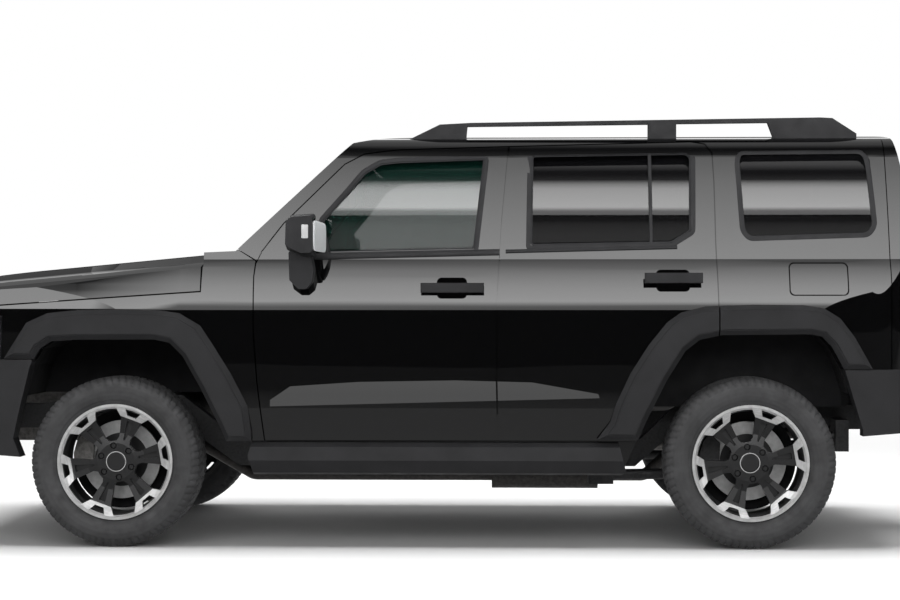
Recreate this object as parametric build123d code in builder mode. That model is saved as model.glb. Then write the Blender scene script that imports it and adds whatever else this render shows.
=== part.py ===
"""A five-door body-on-frame sport utility vehicle, in millimetres.

The front points towards -X and the left side towards -Y. Z is up, and the origin lies on
the ground under the middle of the vehicle's length, between its sides.
"""

import os
from math import cos, radians, sin, sqrt

from build123d import *

os.makedirs("parts", exist_ok=True)

SIDES = (("left", -1), ("right", 1))

# Whole vehicle
LENGTH = 4760
WHEELBASE = 2750
FRONT_AXLE_X = -1480
REAR_AXLE_X = FRONT_AXLE_X + WHEELBASE
FLARE_HALF_WIDTH = 960
FLARE_CHAMFER = 20
FLARE_FACE = 6
FLARE_INSET = 25
NOSE_X = -LENGTH / 2
TAIL_X = LENGTH / 2

# Wheels and tyres, radii and places along the wheel's own axis from its middle plane
TYRE_RADIUS = 370
TYRE_HALF_WIDTH = 127.5
HALF_TRACK = 804
SEAT_RADIUS = 243
FLANGE_RADIUS = 254
SPOKES = 6
DISC_RADIUS = 172
HUB_FACE = -67
AXLE_Z = TYRE_RADIUS
KINGPIN_Y = 700

# Panels and gaps
SHUT_GAP = 5
SEAT_GAP = 0.3
SKIN = 15
REBATE = 24
DOOR_DEPTH = 100
FRAME_DEPTH = 42
WALL = 105
DOOR_FLANGE = 45
JAMB_INSET = 30
ROOF_THICKNESS = 38
GLASS = 5
BELT_Z = 1250

# Body side section, as height and half width
SECTION_SILL = ((330, 872), (462, 872), (464, 908), (606, 930))
SHOULDER = ((606, 930), (820, 930), (1030, 925))
UPPER_SHOULDER = ((1030, 925), (1146, 906), (BELT_Z, 866))
TUMBLEHOME = ((BELT_Z, 866), (1480, 806), (1700, 735))
CANT = ((1700, 735), (1762, 692), (1794, 620))
CROWN = ((1794, 620), (1823, 320), (1832, 0))

# Where panels meet, along x
TAIL_SEAM_X = 1872
ROOF_JOINT_Y = 640
CABIN_FRONT_X = -1100

# Windscreen plane, base and top, as x and z
SCREEN_BASE = (-917, 1331)
SCREEN_TOP = (-461, 1771)

# Front door outline, as x and z, from its lower front corner upwards
FRONT_DOOR = (
    (-826, 466), (-857, 719), (-873, 936), (-875, 1174), (-869, 1231), (-845, 1284),
    (-753, 1407), (-643, 1518), (-493, 1670), (-407, 1716), (-252, 1736), (227, 1750),
    (197, 1415), (176, 1044), (174, 720), (180, 466),
)
REAR_DOOR = (
    (187, 466), (181, 720), (183, 1044), (204, 1415), (234, 1750), (1033, 1770),
    (1092, 1760), (1120, 1717), (1124, 1591), (1124, 1326), (1130, 1057), (1130, 915),
    (1050, 902), (989, 854), (911, 731), (823, 556), (783, 466),
)
FRONT_GLASS = (
    (-560, 1282), (-600, 1428), (-490, 1552), (-415, 1640), (-335, 1685), (-251, 1696),
    (130, 1708), (139, 1660), (98, 1296),
)
REAR_GLASS = (
    (322, 1306), (330, 1712), (1010, 1722), (1030, 1700), (1022, 1372), (934, 1318),
)
QUARTER_GLASS = (
    (1236, 1376), (1222, 1690), (1240, 1731), (1780, 1735), (1809, 1690), (1824, 1400),
    (1791, 1347), (1268, 1334),
)

# Wheel arches, as x and z
FRONT_ARCH = (
    (-1960, 340), (-1922, 473), (-1889, 622), (-1847, 788), (-1805, 862), (-1756, 894),
    (-1639, 901), (-1306, 902), (-1240, 888), (-1182, 830), (-1099, 682), (-1016, 516),
    (-933, 340),
)
REAR_ARCH = (
    (710, 300), (823, 556), (911, 731), (989, 854), (1050, 902), (1146, 922),
    (1520, 926), (1572, 916), (1615, 872), (1667, 776), (1749, 506), (1790, 300),
)
FRONT_FLARE = (
    (-1962, 818), (-1864, 974), (-1772, 1016), (-1639, 1030), (-1472, 1034),
    (-1281, 1028), (-1198, 1016), (-1107, 962), (-1057, 888), (-974, 756), (-900, 615),
    (-884, 500), (-884, 462), (-992, 462), (-1016, 516), (-1099, 682), (-1182, 830),
    (-1240, 888), (-1306, 902), (-1639, 901), (-1756, 894), (-1805, 862), (-1830, 818),
)
REAR_FLARE = (
    (610, 472), (666, 548), (692, 627), (754, 758), (832, 880), (911, 977), (972, 1020),
    (1076, 1046), (1277, 1053), (1494, 1051), (1580, 1038), (1650, 994), (1710, 916),
    (1789, 776), (1667, 776), (1615, 872), (1572, 916), (1520, 926), (1146, 922),
    (1050, 902), (989, 854), (911, 731), (823, 556), (786, 472),
)
FLARE_SPLIT_X = 1133


def grown(points, amount):
    """A closed outline's corners, moved so that every edge lies amount further out."""
    pairs = list(zip(points, points[1:] + points[:1]))
    turn = 1 if sum(a[0] * b[1] - b[0] * a[1] for a, b in pairs) > 0 else -1
    lines = []
    for (ax, ay), (bx, by) in pairs:
        length = sqrt((bx - ax) ** 2 + (by - ay) ** 2)
        nx, ny = turn * (by - ay) / length, -turn * (bx - ax) / length
        lines.append((nx, ny, nx * ax + ny * ay + amount))
    corners = []
    for (px, py, p), (qx, qy, q) in zip(lines[-1:] + lines[:-1], lines):
        cross = px * qy - py * qx
        corners.append(((p * qy - q * py) / cross, (px * q - qx * p) / cross))
    return tuple(corners)


def carried(plane, points, amount, radius=0, grow=0):
    """A closed outline on a plane, rounded and grown, carried along the plane's normal."""
    corners = grown(tuple(points), grow) if grow else points
    with BuildPart() as prism:
        with BuildSketch(plane):
            with BuildLine():
                if radius:
                    FilletPolyline(*corners, radius=radius, close=True)
                else:
                    Polyline(*corners, close=True)
            make_face()
        extrude(amount=amount)
    return prism.part


def side_prism(points, y_from, y_to, radius=0, grow=0):
    """An outline in x and z, carried from y_from to y_to."""
    low, high = sorted((y_from, y_to))
    return carried(Plane.XZ.offset(-high), points, high - low, radius, grow)


def section_prism(points, x_from, x_to, radius=0, grow=0):
    """An outline in y and z, carried from x_from to x_to."""
    return carried(Plane.YZ.offset(x_from), points, x_to - x_from, radius, grow)


def plan_prism(points, z_from, z_to, radius=0, grow=0):
    """An outline in x and y, carried from z_from up to z_to."""
    return carried(Plane.XY.offset(z_from), points, z_to - z_from, radius, grow)


def block(x_from, x_to, y_from, y_to, z_from, z_to):
    """A plain box between two corners."""
    low, high = sorted((y_from, y_to))
    size = Box(x_to - x_from, high - low, z_to - z_from, mode=Mode.PRIVATE)
    centre = ((x_from + x_to) / 2, (low + high) / 2, (z_from + z_to) / 2)
    return size.moved(Location(centre))


def rod(start, end, radius):
    """A round bar between two points."""
    line = Vector(*end) - Vector(*start)
    bar = Cylinder(radius, line.length, mode=Mode.PRIVATE)
    middle = (Vector(*start) + Vector(*end)) * 0.5
    return bar.moved(Plane(middle, z_dir=line).location)


def body_section(x_from, x_to):
    """The closed section across the body, carried from x_from to x_to."""
    with BuildPart() as prism:
        with BuildSketch(Plane.YZ.offset(x_from)):
            with BuildLine():
                Polyline((0, 330), *[(y, z) for z, y in SECTION_SILL])
                for arc in (SHOULDER, UPPER_SHOULDER, TUMBLEHOME, CANT, CROWN):
                    ThreePointArc(*[(y, z) for z, y in arc])
                Line((0, 1832), (0, 330))
            make_face()
            mirror(about=Plane.YZ)
        extrude(amount=x_to - x_from)
    return prism.part


# Cabin envelope: the section, the side outline and the plan outline, all in common
with BuildPart() as cabin:
    add(body_section(CABIN_FRONT_X, 2060))
    with BuildSketch(Plane.XZ.offset(-1000)):
        with BuildLine():
            Polyline((-461, 1771), SCREEN_BASE, (-962, 1287), (-1100, 1281), (-1100, 330))
            ThreePointArc(SCREEN_TOP, (-300, 1800), (-100, 1815))
            ThreePointArc((-100, 1815), (860, 1833), (1840, 1828))
            ThreePointArc((1840, 1828), (1899, 1812), (1922, 1765))
            Polyline((1922, 1765), (1953, 1596), (1990, 1300), (2006, 1000), (2006, 330))
            Line((2006, 330), (-1100, 330))
        make_face()
    extrude(amount=2000, mode=Mode.INTERSECT)
    with BuildSketch(Plane.XY.offset(300)):
        with BuildLine():
            Polyline((0, 0), (-1100, 0), (-1100, 938), (1300, 938), (1790, 915))
            ThreePointArc((1790, 915), (1938, 870), (2000, 750))
            ThreePointArc((2000, 750), (2020, 380), (2026, 0))
            Line((2026, 0), (0, 0))
        make_face()
        mirror(about=Plane.XZ)
    extrude(amount=1600, mode=Mode.INTERSECT)

# Front envelope: wings, bonnet and lamps
BONNET_SLOPE = 0.095
BULGE_EDGE = (570, 1276)
with BuildPart() as front:
    add(body_section(-2300, CABIN_FRONT_X))
    with BuildSketch(Plane.YZ.offset(CABIN_FRONT_X)):
        with BuildLine():
            Polyline((0, 0), (960, 0), (960, 1150), (912, 1196), (890, 1216))
            ThreePointArc((890, 1216), (760, 1239), (610, 1251))
            Line((610, 1251), BULGE_EDGE)
            ThreePointArc(BULGE_EDGE, (290, 1290), (0, 1294))
            Line((0, 1294), (0, 0))
        make_face()
        mirror(about=Plane.YZ)
    extrude(amount=1300, dir=(-1, 0, -BONNET_SLOPE), mode=Mode.INTERSECT)
    with BuildSketch(Plane.XZ.offset(-1000)):
        with BuildLine():
            Polyline((-1100, 1291), (-1100, 330), (-2270, 330), (-2300, 900), (-2276, 1118))
            ThreePointArc((-2276, 1118), (-2244, 1144), (-2200, 1156))
            ThreePointArc((-2200, 1156), (-1650, 1250), (-1100, 1291))
        make_face()
    extrude(amount=2000, mode=Mode.INTERSECT)
    with BuildSketch(Plane.XY.offset(300)):
        with BuildLine():
            Polyline((0, 0), (-1100, 0), (-1100, 938), (-1300, 932), (-1980, 904))
            ThreePointArc((-1980, 904), (-2160, 860), (-2244, 760))
            ThreePointArc((-2244, 760), (-2284, 400), (-2298, 0))
            Line((-2298, 0), (0, 0))
        make_face()
        mirror(about=Plane.XZ)
    extrude(amount=1100, mode=Mode.INTERSECT)

# Scallop low in the doors: a tilted face below a lens-shaped upper edge
SCALLOP = (
    (-803, 590), (-803, 642), (-718, 702), (-420, 722), (0, 729), (330, 720), (614, 669),
    (622, 648), (622, 590),
)
SCALLOP_FACE = ((931, 606), (913, 736), (990, 736), (990, 606))
CREASE_RISE = 0.028

# Where the pillar between the doors is planed flat behind the scallop
PILLAR_FLAT = (140, 230, 580, 770)
PILLAR_FACE = 886


def scallop(hand):
    """The room of one side's scallop, outside its tilted face."""
    with BuildPart() as wedge:
        with BuildSketch(Plane.YZ.offset(SCALLOP[0][0] - 20)):
            with BuildLine():
                Polyline(*[(hand * y, z) for y, z in SCALLOP_FACE], close=True)
            make_face()
        extrude(amount=1500, dir=(1, 0, CREASE_RISE))
    return wedge.part & side_prism(SCALLOP, hand * 850, hand * 1000)


CABIN = cabin.part - scallop(-1) - scallop(1)
FRONT = front.part


def lapped(side, depth):
    """The cabin envelope's outermost band on one side, depth thick across the vehicle."""
    inner = CABIN.moved(Location((0, -side * depth, 0)))
    half = block(-3000, 3000, side * 2, side * 1200, 0, 2000)
    return (CABIN & half) - inner


# Windscreen slot: the screen plane carried inwards, and its edges seen from the front
SCREEN_EDGE = ((-792, 1334), (-606, 1764), (606, 1764), (792, 1334))
SCREEN_RUN = (SCREEN_TOP[0] - SCREEN_BASE[0], SCREEN_TOP[1] - SCREEN_BASE[1])
SCREEN_LENGTH = sqrt(SCREEN_RUN[0] ** 2 + SCREEN_RUN[1] ** 2)
SCREEN_INWARD = (SCREEN_RUN[1] / SCREEN_LENGTH, -SCREEN_RUN[0] / SCREEN_LENGTH)


def screen_slab(near, far, spare):
    """The part of the screen's slope from near to far behind it, spare wider all round."""
    corners = []
    ends = ((SCREEN_BASE, near), (SCREEN_TOP, near), (SCREEN_TOP, far), (SCREEN_BASE, far))
    for (x, z), depth in ends:
        corners.append((x + SCREEN_INWARD[0] * depth, z + SCREEN_INWARD[1] * depth))
    return side_prism(corners, -1000, 1000) & section_prism(SCREEN_EDGE, -1200, 0, grow=spare)


# Wing outline, and the room that it and its gap take from the body side
WING = (
    (-2310, 1028), (-1981, 1048), (-1545, 1078), (-1105, 1107), (-1100, 1300),
    (-965, 1300), (-874, 1243), (-880, 1174), (-878, 936), (-862, 719), (-831, 464),
    (-990, 464), (-1016, 516), (-1099, 682), (-1182, 830), (-1240, 888), (-1306, 902),
    (-1639, 901), (-1756, 894), (-1805, 862), (-1830, 818), (-1975, 818),
    (-1975, 1006), (-2310, 1003),
)
WING_ROOM = (
    (-1200, 1302), (-963, 1302), (-868, 1246), (-874, 1174), (-872, 936), (-856, 719),
    (-826, 464), (-826, 300), (-1200, 300),
)
BONNET = (
    (-2320, 1034), (-1981, 1054), (-1545, 1084), (-1110, 1113), (-1110, 1400), (-2320, 1400),
)
LAMP = ((-2320, 814.3), (-2320, 1002.6), (-1980, 1005.6), (-1980, 814.3))
HANDLES = {"front": (-150, 123, 1104, 1147), "rear": (813, 1062, 1145, 1190)}
CUPS = {"front": (-81, 49, 1079, 1170), "rear": (865, 1010, 1109, 1204)}
HANDLE_POST = 26
CUP_FLOOR = 872
FUEL_FLAP = ((1441, 1096), (1441, 1230), (1686, 1230), (1686, 1096))
TAILGATE = ((-745, 780), (-745, 1500), (-690, 1742), (690, 1742), (745, 1500), (745, 780))
TAILGATE_GLASS = ((-625, 1345), (-575, 1690), (575, 1690), (625, 1345))
MIRROR_ARM = (
    (-716, 1285), (-640, 1285), (-622, 1262), (-608, 1205), (-616, 1150), (-640, 1120),
    (-674, 1120), (-712, 1158),
)
MIRROR_HEAD = (
    (-728, 1290), (-726, 1424), (-700, 1440), (-602, 1446), (-600, 1258), (-650, 1256),
)
MIRROR_TIP = (
    (-716, 1304), (-713, 1406), (-692, 1424), (-602, 1430), (-600, 1274), (-650, 1272),
)
MIRROR_GLASS = ((974, 1282), (974, 1424), (1098, 1412), (1098, 1292))
MIRROR_TIP_Y = 1120
WING_DEPTH = 60
HINGE_HEIGHTS = (640, 980)
TAILGATE_HINGES = (880, 1240)
TAILGATE_PIVOT = (2032, 748)
PIVOT_RADIUS = 11
TAILGATE_SKIN = 20
TAILGATE_DEPTH = 95

# One set of bands for each side, cut once from the envelope
DEPTHS = (SKIN, REBATE, DOOR_DEPTH, FRAME_DEPTH, WALL)
BANDS = {(hand, depth): lapped(hand, depth) for _, hand in SIDES for depth in DEPTHS}
OUTER = FRONT + CABIN
INTERIOR = CABIN.moved(Location((0, WALL + SEAT_GAP, 0))) & CABIN.moved(Location((0, -WALL - SEAT_GAP, 0)))


def flare(points, hand):
    """An arch flare outside the body's skin: a chamfered lip with a raised flat face."""
    shoulder = hand * (FLARE_HALF_WIDTH - FLARE_FACE - FLARE_CHAMFER)
    crest = hand * (FLARE_HALF_WIDTH - FLARE_FACE)
    with BuildPart() as lip:
        add(side_prism(points, hand * 860, shoulder))
        with BuildSketch(Plane.XZ.offset(-shoulder)):
            with BuildLine():
                Polyline(*points, close=True)
            make_face()
        with BuildSketch(Plane.XZ.offset(-crest)):
            with BuildLine():
                Polyline(*grown(points, -FLARE_CHAMFER), close=True)
            make_face()
        loft(ruled=True)
        add(side_prism(points, crest - hand, hand * FLARE_HALF_WIDTH, grow=-FLARE_INSET))
    return lip.part - OUTER


def handle(name, hand):
    """A bar handle with rounded ends, held off the door's skin by two posts."""
    x_from, x_to, z_from, z_to = HANDLES[name]
    corners = ((x_from, z_from), (x_from, z_to), (x_to, z_to), (x_to, z_from))
    with BuildPart() as bar:
        add(side_prism(corners, hand * 938, hand * 950))
        add(side_prism(grown(corners, -3), hand * 948, hand * 956, radius=12))
        for x in (x_from + HANDLE_POST, x_to - 2 * HANDLE_POST):
            add(block(x, x + HANDLE_POST, hand * 860, hand * 940, z_from + 8, z_to - 8))
    return bar.part - CABIN


def handle_cup(name, hand):
    """The finger recess behind a handle, sunk into the door's skin."""
    x_from, x_to, z_from, z_to = CUPS[name]
    corners = ((x_from, z_from), (x_from, z_to), (x_to, z_to), (x_to, z_from))
    return side_prism(corners, hand * CUP_FLOOR, hand * 1000, radius=20)


# Right front wing with the panel beside the scuttle; the left one mirrors it
with BuildPart() as right_wing:
    add(OUTER)
    add(side_prism(WING, 600, 1000), mode=Mode.INTERSECT)
    add(OUTER.moved(Location((0, -WING_DEPTH, 0))), mode=Mode.SUBTRACT)
WINGS = {1: right_wing.part, -1: right_wing.part.mirror(Plane.XZ)}

for side, hand in SIDES:
    with BuildPart() as front_wing:
        add(WINGS[hand])
    front_wing.part.label = f"{side}_front_wing"
    export_step(front_wing.part, f"parts/{side}_front_wing.step")

    # Body side: pillars, sill, cant rail and quarter panel
    with BuildPart() as body_side:
        add(BANDS[hand, WALL])
        add(block(-1000, TAIL_SEAM_X, hand * ROOF_JOINT_Y, hand * 1000, 300, 1900), mode=Mode.INTERSECT)
        add(side_prism(REAR_ARCH, hand * 500, hand * 1000), mode=Mode.SUBTRACT)
        add(block(1600, 1900, hand * 500, hand * 1000, 300, 774), mode=Mode.SUBTRACT)
        add(side_prism(WING_ROOM, hand * 500, hand * 1000), mode=Mode.SUBTRACT)
        for outline in (FRONT_DOOR, REAR_DOOR):
            add(side_prism(outline, hand * 500, hand * 1000, grow=-JAMB_INSET), mode=Mode.SUBTRACT)
            rebate = side_prism(outline, hand * 500, hand * 1000, grow=SHUT_GAP)
            add(rebate & BANDS[hand, REBATE], mode=Mode.SUBTRACT)
        x_from, x_to, z_from, z_to = PILLAR_FLAT
        add(block(x_from, x_to, hand * PILLAR_FACE, hand * 1000, z_from, z_to), mode=Mode.SUBTRACT)
        add(side_prism(QUARTER_GLASS, hand * 500, hand * 1000, radius=30), mode=Mode.SUBTRACT)
        add(screen_slab(-20, 1 + GLASS + SEAT_GAP, 3), mode=Mode.SUBTRACT)
        add(section_prism(TAILGATE, 1780, 1900, grow=SHUT_GAP), mode=Mode.SUBTRACT)
        if hand < 0:
            pocket = side_prism(FUEL_FLAP, -1000, -858, radius=22, grow=SHUT_GAP)
            add(pocket, mode=Mode.SUBTRACT)
    body_side.part.label = f"{side}_body_side"
    export_step(body_side.part, f"parts/{side}_body_side.step")

    # Doors: a thin outer skin over a deeper inner frame set back from its edge
    for door, outline, glass_outline in (
        ("front", FRONT_DOOR, FRONT_GLASS),
        ("rear", REAR_DOOR, REAR_GLASS),
    ):
        inner = side_prism(outline, hand * 500, hand * 1000, grow=-DOOR_FLANGE)
        lower = BANDS[hand, DOOR_DEPTH] & block(-1200, 2000, hand * 500, hand * 1000, 300, BELT_Z)
        upper = BANDS[hand, FRAME_DEPTH] & block(-1200, 2000, hand * 500, hand * 1000, BELT_Z, 1800)
        with BuildPart() as door_panel:
            add(BANDS[hand, SKIN])
            add(side_prism(outline, hand * 500, hand * 1000), mode=Mode.INTERSECT)
            add((lower & inner) + (upper & inner))
            pads = side_prism(outline, hand * 842, hand * 882, grow=-JAMB_INSET - SEAT_GAP)
            for z in HINGE_HEIGHTS:
                add(pads & block(outline[3][0] - 20, outline[3][0] + 110, hand * 800, hand * 900, z, z + 60))
            add(side_prism(glass_outline, hand * 500, hand * 1000, radius=22), mode=Mode.SUBTRACT)
            add(handle_cup(door, hand), mode=Mode.SUBTRACT)
        door_panel.part.label = f"{side}_{door}_door"
        export_step(door_panel.part, f"parts/{side}_{door}_door.step")

        pane = CABIN.moved(Location((0, -hand * 12, 0))) - CABIN.moved(Location((0, -hand * (12 + GLASS), 0)))
        with BuildPart() as door_glass:
            add(pane)
            cut = side_prism(glass_outline, hand * 500, hand * 1000, radius=22, grow=-SEAT_GAP)
            add(cut, mode=Mode.INTERSECT)
        door_glass.part.label = f"{side}_{door}_door_glass"
        export_step(door_glass.part, f"parts/{side}_{door}_door_glass.step")

    with BuildPart() as front_door_handle:
        add(handle("front", hand))
    front_door_handle.part.label = f"{side}_front_door_handle"
    export_step(front_door_handle.part, f"parts/{side}_front_door_handle.step")

    # Rear door trim: its handle and its piece of the arch flare
    with BuildPart() as rear_door_trim:
        add(handle("rear", hand))
        add(flare(REAR_FLARE, hand) & block(500, FLARE_SPLIT_X - 3, hand * 500, hand * 1000, 300, 1200))
    rear_door_trim.part.label = f"{side}_rear_door_trim"
    export_step(rear_door_trim.part, f"parts/{side}_rear_door_trim.step")

    # Door mirror: a head that tapers outwards, on a tapering arm
    with BuildPart() as mirror_arm:
        add(side_prism(MIRROR_ARM, hand * 860, hand * 990, radius=12))
        with BuildSketch(Plane.XZ.offset(-hand * 955)):
            with BuildLine():
                FilletPolyline(*MIRROR_HEAD, radius=14, close=True)
            make_face()
        with BuildSketch(Plane.XZ.offset(-hand * MIRROR_TIP_Y)):
            with BuildLine():
                FilletPolyline(*MIRROR_TIP, radius=14, close=True)
            make_face()
        loft()
        glass = tuple((hand * y, z) for y, z in MIRROR_GLASS)
        add(section_prism(glass, -609, -590, radius=12), mode=Mode.SUBTRACT)
        add(CABIN, mode=Mode.SUBTRACT)
    mirror_arm.part.label = f"{side}_door_mirror"
    export_step(mirror_arm.part, f"parts/{side}_door_mirror.step")

# Fixed windows: the screen and the two quarter panes
with BuildPart() as fixed_windows:
    add(screen_slab(1, 1 + GLASS, -1))
    for side, hand in SIDES:
        pane = CABIN.moved(Location((0, -hand * 4, 0))) - CABIN.moved(Location((0, -hand * (4 + GLASS), 0)))
        add(pane & side_prism(QUARTER_GLASS, hand * 500, hand * 1000, radius=30, grow=-SEAT_GAP))
fixed_windows.part.label = "fixed_windows"
export_step(fixed_windows.part, "parts/fixed_windows.step")

# Roof panel between the cant rails, with the header over the tailgate
with BuildPart() as roof:
    add(CABIN)
    add(CABIN.moved(Location((0, 0, -ROOF_THICKNESS))), mode=Mode.SUBTRACT)
    add(block(-452, TAIL_SEAM_X, -ROOF_JOINT_Y + SEAT_GAP, ROOF_JOINT_Y - SEAT_GAP, 1700, 1900), mode=Mode.INTERSECT)
    add(CABIN & block(TAIL_SEAM_X - 1, 2000, -ROOF_JOINT_Y + SEAT_GAP, ROOF_JOINT_Y - SEAT_GAP, 1748, 1900))
roof.part.label = "roof"
export_step(roof.part, "parts/roof.step")

# Cowl between the bonnet and the screen, reaching to the wings and then to the body sides
COWL_HALF_WIDTH = 858 - WING_DEPTH
COWL_TAIL_HALF_WIDTH = 845 - WALL
with BuildPart() as cowl:
    add(CABIN)
    add(CABIN.moved(Location((0, 0, -30))), mode=Mode.SUBTRACT)
    half, tail = COWL_HALF_WIDTH, COWL_TAIL_HALF_WIDTH
    reach = block(-1099, -967, -half, half, 1200, 1400) + block(-968, -924, -tail, tail, 1200, 1400)
    add(reach, mode=Mode.INTERSECT)
    for y in (-600, 600):
        add(block(-1097, -1090, y - 35, y + 35, 1224, 1262))
        add(block(-1110 + SEAT_GAP, -1096, y - 35, y + 35, 1224, 1244))
    add(screen_slab(-20, 1 + GLASS + SEAT_GAP, 3), mode=Mode.SUBTRACT)
cowl.part.label = "cowl"
export_step(cowl.part, "parts/cowl.step")

# Bonnet: a clamshell lid
with BuildPart() as bonnet:
    add(FRONT)
    add(side_prism(BONNET, -1000, 1000), mode=Mode.INTERSECT)
    hollow = FRONT.moved(Location((0, 0, -30))) & block(-2225, -1000, -872, 872, 300, 1400)
    add(hollow, mode=Mode.SUBTRACT)
bonnet.part.label = "bonnet"
export_step(bonnet.part, "parts/bonnet.step")

# Headlamps, one closed housing in each front corner
with BuildPart() as headlamps:
    for side, hand in SIDES:
        corner = FRONT & side_prism(LAMP, hand * 600, hand * 1000)
        add(corner - block(-2200, -1900, hand * 500, hand * 700, 800, 1100))
headlamps.part.label = "headlamps"
export_step(headlamps.part, "parts/headlamps.step")

# Grille between the lamps
with BuildPart() as grille:
    add(FRONT & block(-2320, -2235, -599.7, 599.7, 814.3, 1028))
    for level in range(4):
        z = 848 + level * 36
        add(block(-2400, -2262, -560, 560, z, z + 22), mode=Mode.SUBTRACT)
grille.part.label = "grille"
export_step(grille.part, "parts/grille.step")


def plan_band(outer, depth, z_from, z_to):
    """A wall that follows a half outline given as x and half width, mirrored to both sides."""
    with BuildPart() as wall:
        with BuildSketch(Plane.XY.offset(z_from)):
            with BuildLine():
                Polyline(*outer, (outer[0][0], 0), close=True)
            make_face()
            mirror(about=Plane.XZ)
        extrude(amount=z_to - z_from)
    inner = grown(tuple(outer) + ((outer[0][0], 0),), -depth)[:-1]
    with BuildPart() as core:
        with BuildSketch(Plane.XY.offset(z_from)):
            with BuildLine():
                far = outer[0][0] + (outer[0][0] - outer[-1][0])
                Polyline((far, 0), (far, inner[0][1]), *inner[1:-1], (inner[-1][0], 0), close=True)
            make_face()
            mirror(about=Plane.XZ)
        extrude(amount=z_to - z_from)
    return wall.part - core.part


FRONT_BUMPER_PLAN = (
    (-1840, 936), (-2010, 926), (-2200, 880), (-2310, 760), (-2362, 480), (NOSE_X, 0),
)
FRONT_BUMPER_SIDE = (
    (-1833, 814), (-1847, 788), (-1889, 622), (-1922, 473), (-1890, 392), (-2000, 400),
    (-2300, 452), (-2390, 560), (-2390, 790), (-2360, 814),
)
REAR_BUMPER_PLAN = (
    (1655, 928), (1900, 918), (2010, 870), (2062, 760), (2082, 400), (2086, 0),
)
REAR_BUMPER_SIDE = (
    (1670, 773.7), (1749, 515), (1749, 488), (1899, 500), (2060, 520), (2090, 560),
    (2090, 773.7),
)

with BuildPart() as front_bumper:
    add(plan_band(FRONT_BUMPER_PLAN, 90, 380, 820))
    add(side_prism(FRONT_BUMPER_SIDE, -1000, 1000), mode=Mode.INTERSECT)
    add(block(-2500, -2200, -470, 470, 520, 600), mode=Mode.SUBTRACT)
front_bumper.part.label = "front_bumper"
export_step(front_bumper.part, "parts/front_bumper.step")

with BuildPart() as rear_bumper:
    add(plan_band(REAR_BUMPER_PLAN, 80, 480, 775))
    add(side_prism(REAR_BUMPER_SIDE, -1000, 1000), mode=Mode.INTERSECT)
rear_bumper.part.label = "rear_bumper"
export_step(rear_bumper.part, "parts/rear_bumper.step")

# Rear corner panels behind the seam, with the tail lamps let into them
with BuildPart() as rear_corner_panels:
    for side, hand in SIDES:
        corner = CABIN - CABIN.moved(Location((-80, -hand * 80, 0)))
        reach = block(TAIL_SEAM_X + 4, 2100, hand * ROOF_JOINT_Y, hand * 1000, 774, 1900)
        opening = section_prism(TAILGATE, 1800, 2100, grow=SHUT_GAP)
        lamp = block(1930, 2100, hand * 770, hand * 940, 940, 1280)
        add(((corner & reach) - opening) - lamp)
    x, y = TAILGATE_PIVOT
    for z in TAILGATE_HINGES:
        add(block(1985, x, y + 6, y + 20, z - 36, z - SEAT_GAP))
        add(block(x - 13, x, y, y + 8, z - 36, z - SEAT_GAP))
        add(rod((x, y, z - 36), (x, y, z - SEAT_GAP), PIVOT_RADIUS))
rear_corner_panels.part.label = "rear_corner_panels"
export_step(rear_corner_panels.part, "parts/rear_corner_panels.step")

with BuildPart() as tail_lamps:
    for side, hand in SIDES:
        corner = CABIN - CABIN.moved(Location((-60, -hand * 60, 0)))
        add(corner & block(1930.3, 2100, hand * 770.3, hand * 940, 940.3, 1279.7))
tail_lamps.part.label = "tail_lamps"
export_step(tail_lamps.part, "parts/tail_lamps.step")

# Tailgate and its glass
with BuildPart() as tailgate:
    skin = CABIN - CABIN.moved(Location((-TAILGATE_SKIN, 0, 0)))
    frame = CABIN - CABIN.moved(Location((-TAILGATE_DEPTH, 0, 0)))
    add(skin & section_prism(TAILGATE, 1500, 2100))
    add(frame & section_prism(TAILGATE, 1500, 2100, grow=-14))
    add(section_prism(TAILGATE_GLASS, 1500, 2100, radius=40), mode=Mode.SUBTRACT)
    add(block(1500, 1850, -900, 900, 600, 1900), mode=Mode.SUBTRACT)
    x, y = TAILGATE_PIVOT
    for z in TAILGATE_HINGES:
        add(block(1980, x, y - 60, y - 4, z, z + 36))
        add(block(x - 13, x, y - 8, y, z, z + 36))
        add(rod((x, y, z), (x, y, z + 36), PIVOT_RADIUS))
tailgate.part.label = "tailgate"
export_step(tailgate.part, "parts/tailgate.step")

with BuildPart() as tailgate_glass:
    add(CABIN.moved(Location((-3, 0, 0))) - CABIN.moved(Location((-3 - GLASS, 0, 0))))
    add(section_prism(TAILGATE_GLASS, 1850, 2100, radius=40, grow=-SEAT_GAP), mode=Mode.INTERSECT)
tailgate_glass.part.label = "tailgate_glass"
export_step(tailgate_glass.part, "parts/tailgate_glass.step")

# Fuel flap
with BuildPart() as fuel_flap:
    add(CABIN - CABIN.moved(Location((0, 8, 0))))
    add(side_prism(FUEL_FLAP, -1000, -800, radius=20), mode=Mode.INTERSECT)
    add(block(1436.3, 1462, -895, -873, 1148, 1178))
fuel_flap.part.label = "fuel_flap"
export_step(fuel_flap.part, "parts/fuel_flap.step")

# Arch flares on the body, beyond the rear doors' own pieces
with BuildPart() as arch_flares:
    for side, hand in SIDES:
        add(flare(FRONT_FLARE, hand))
        add(flare(REAR_FLARE, hand) & block(FLARE_SPLIT_X + 3, 1900, hand * 500, hand * 1000, 300, 1200))
arch_flares.part.label = "arch_flares"
export_step(arch_flares.part, "parts/arch_flares.step")

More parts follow.
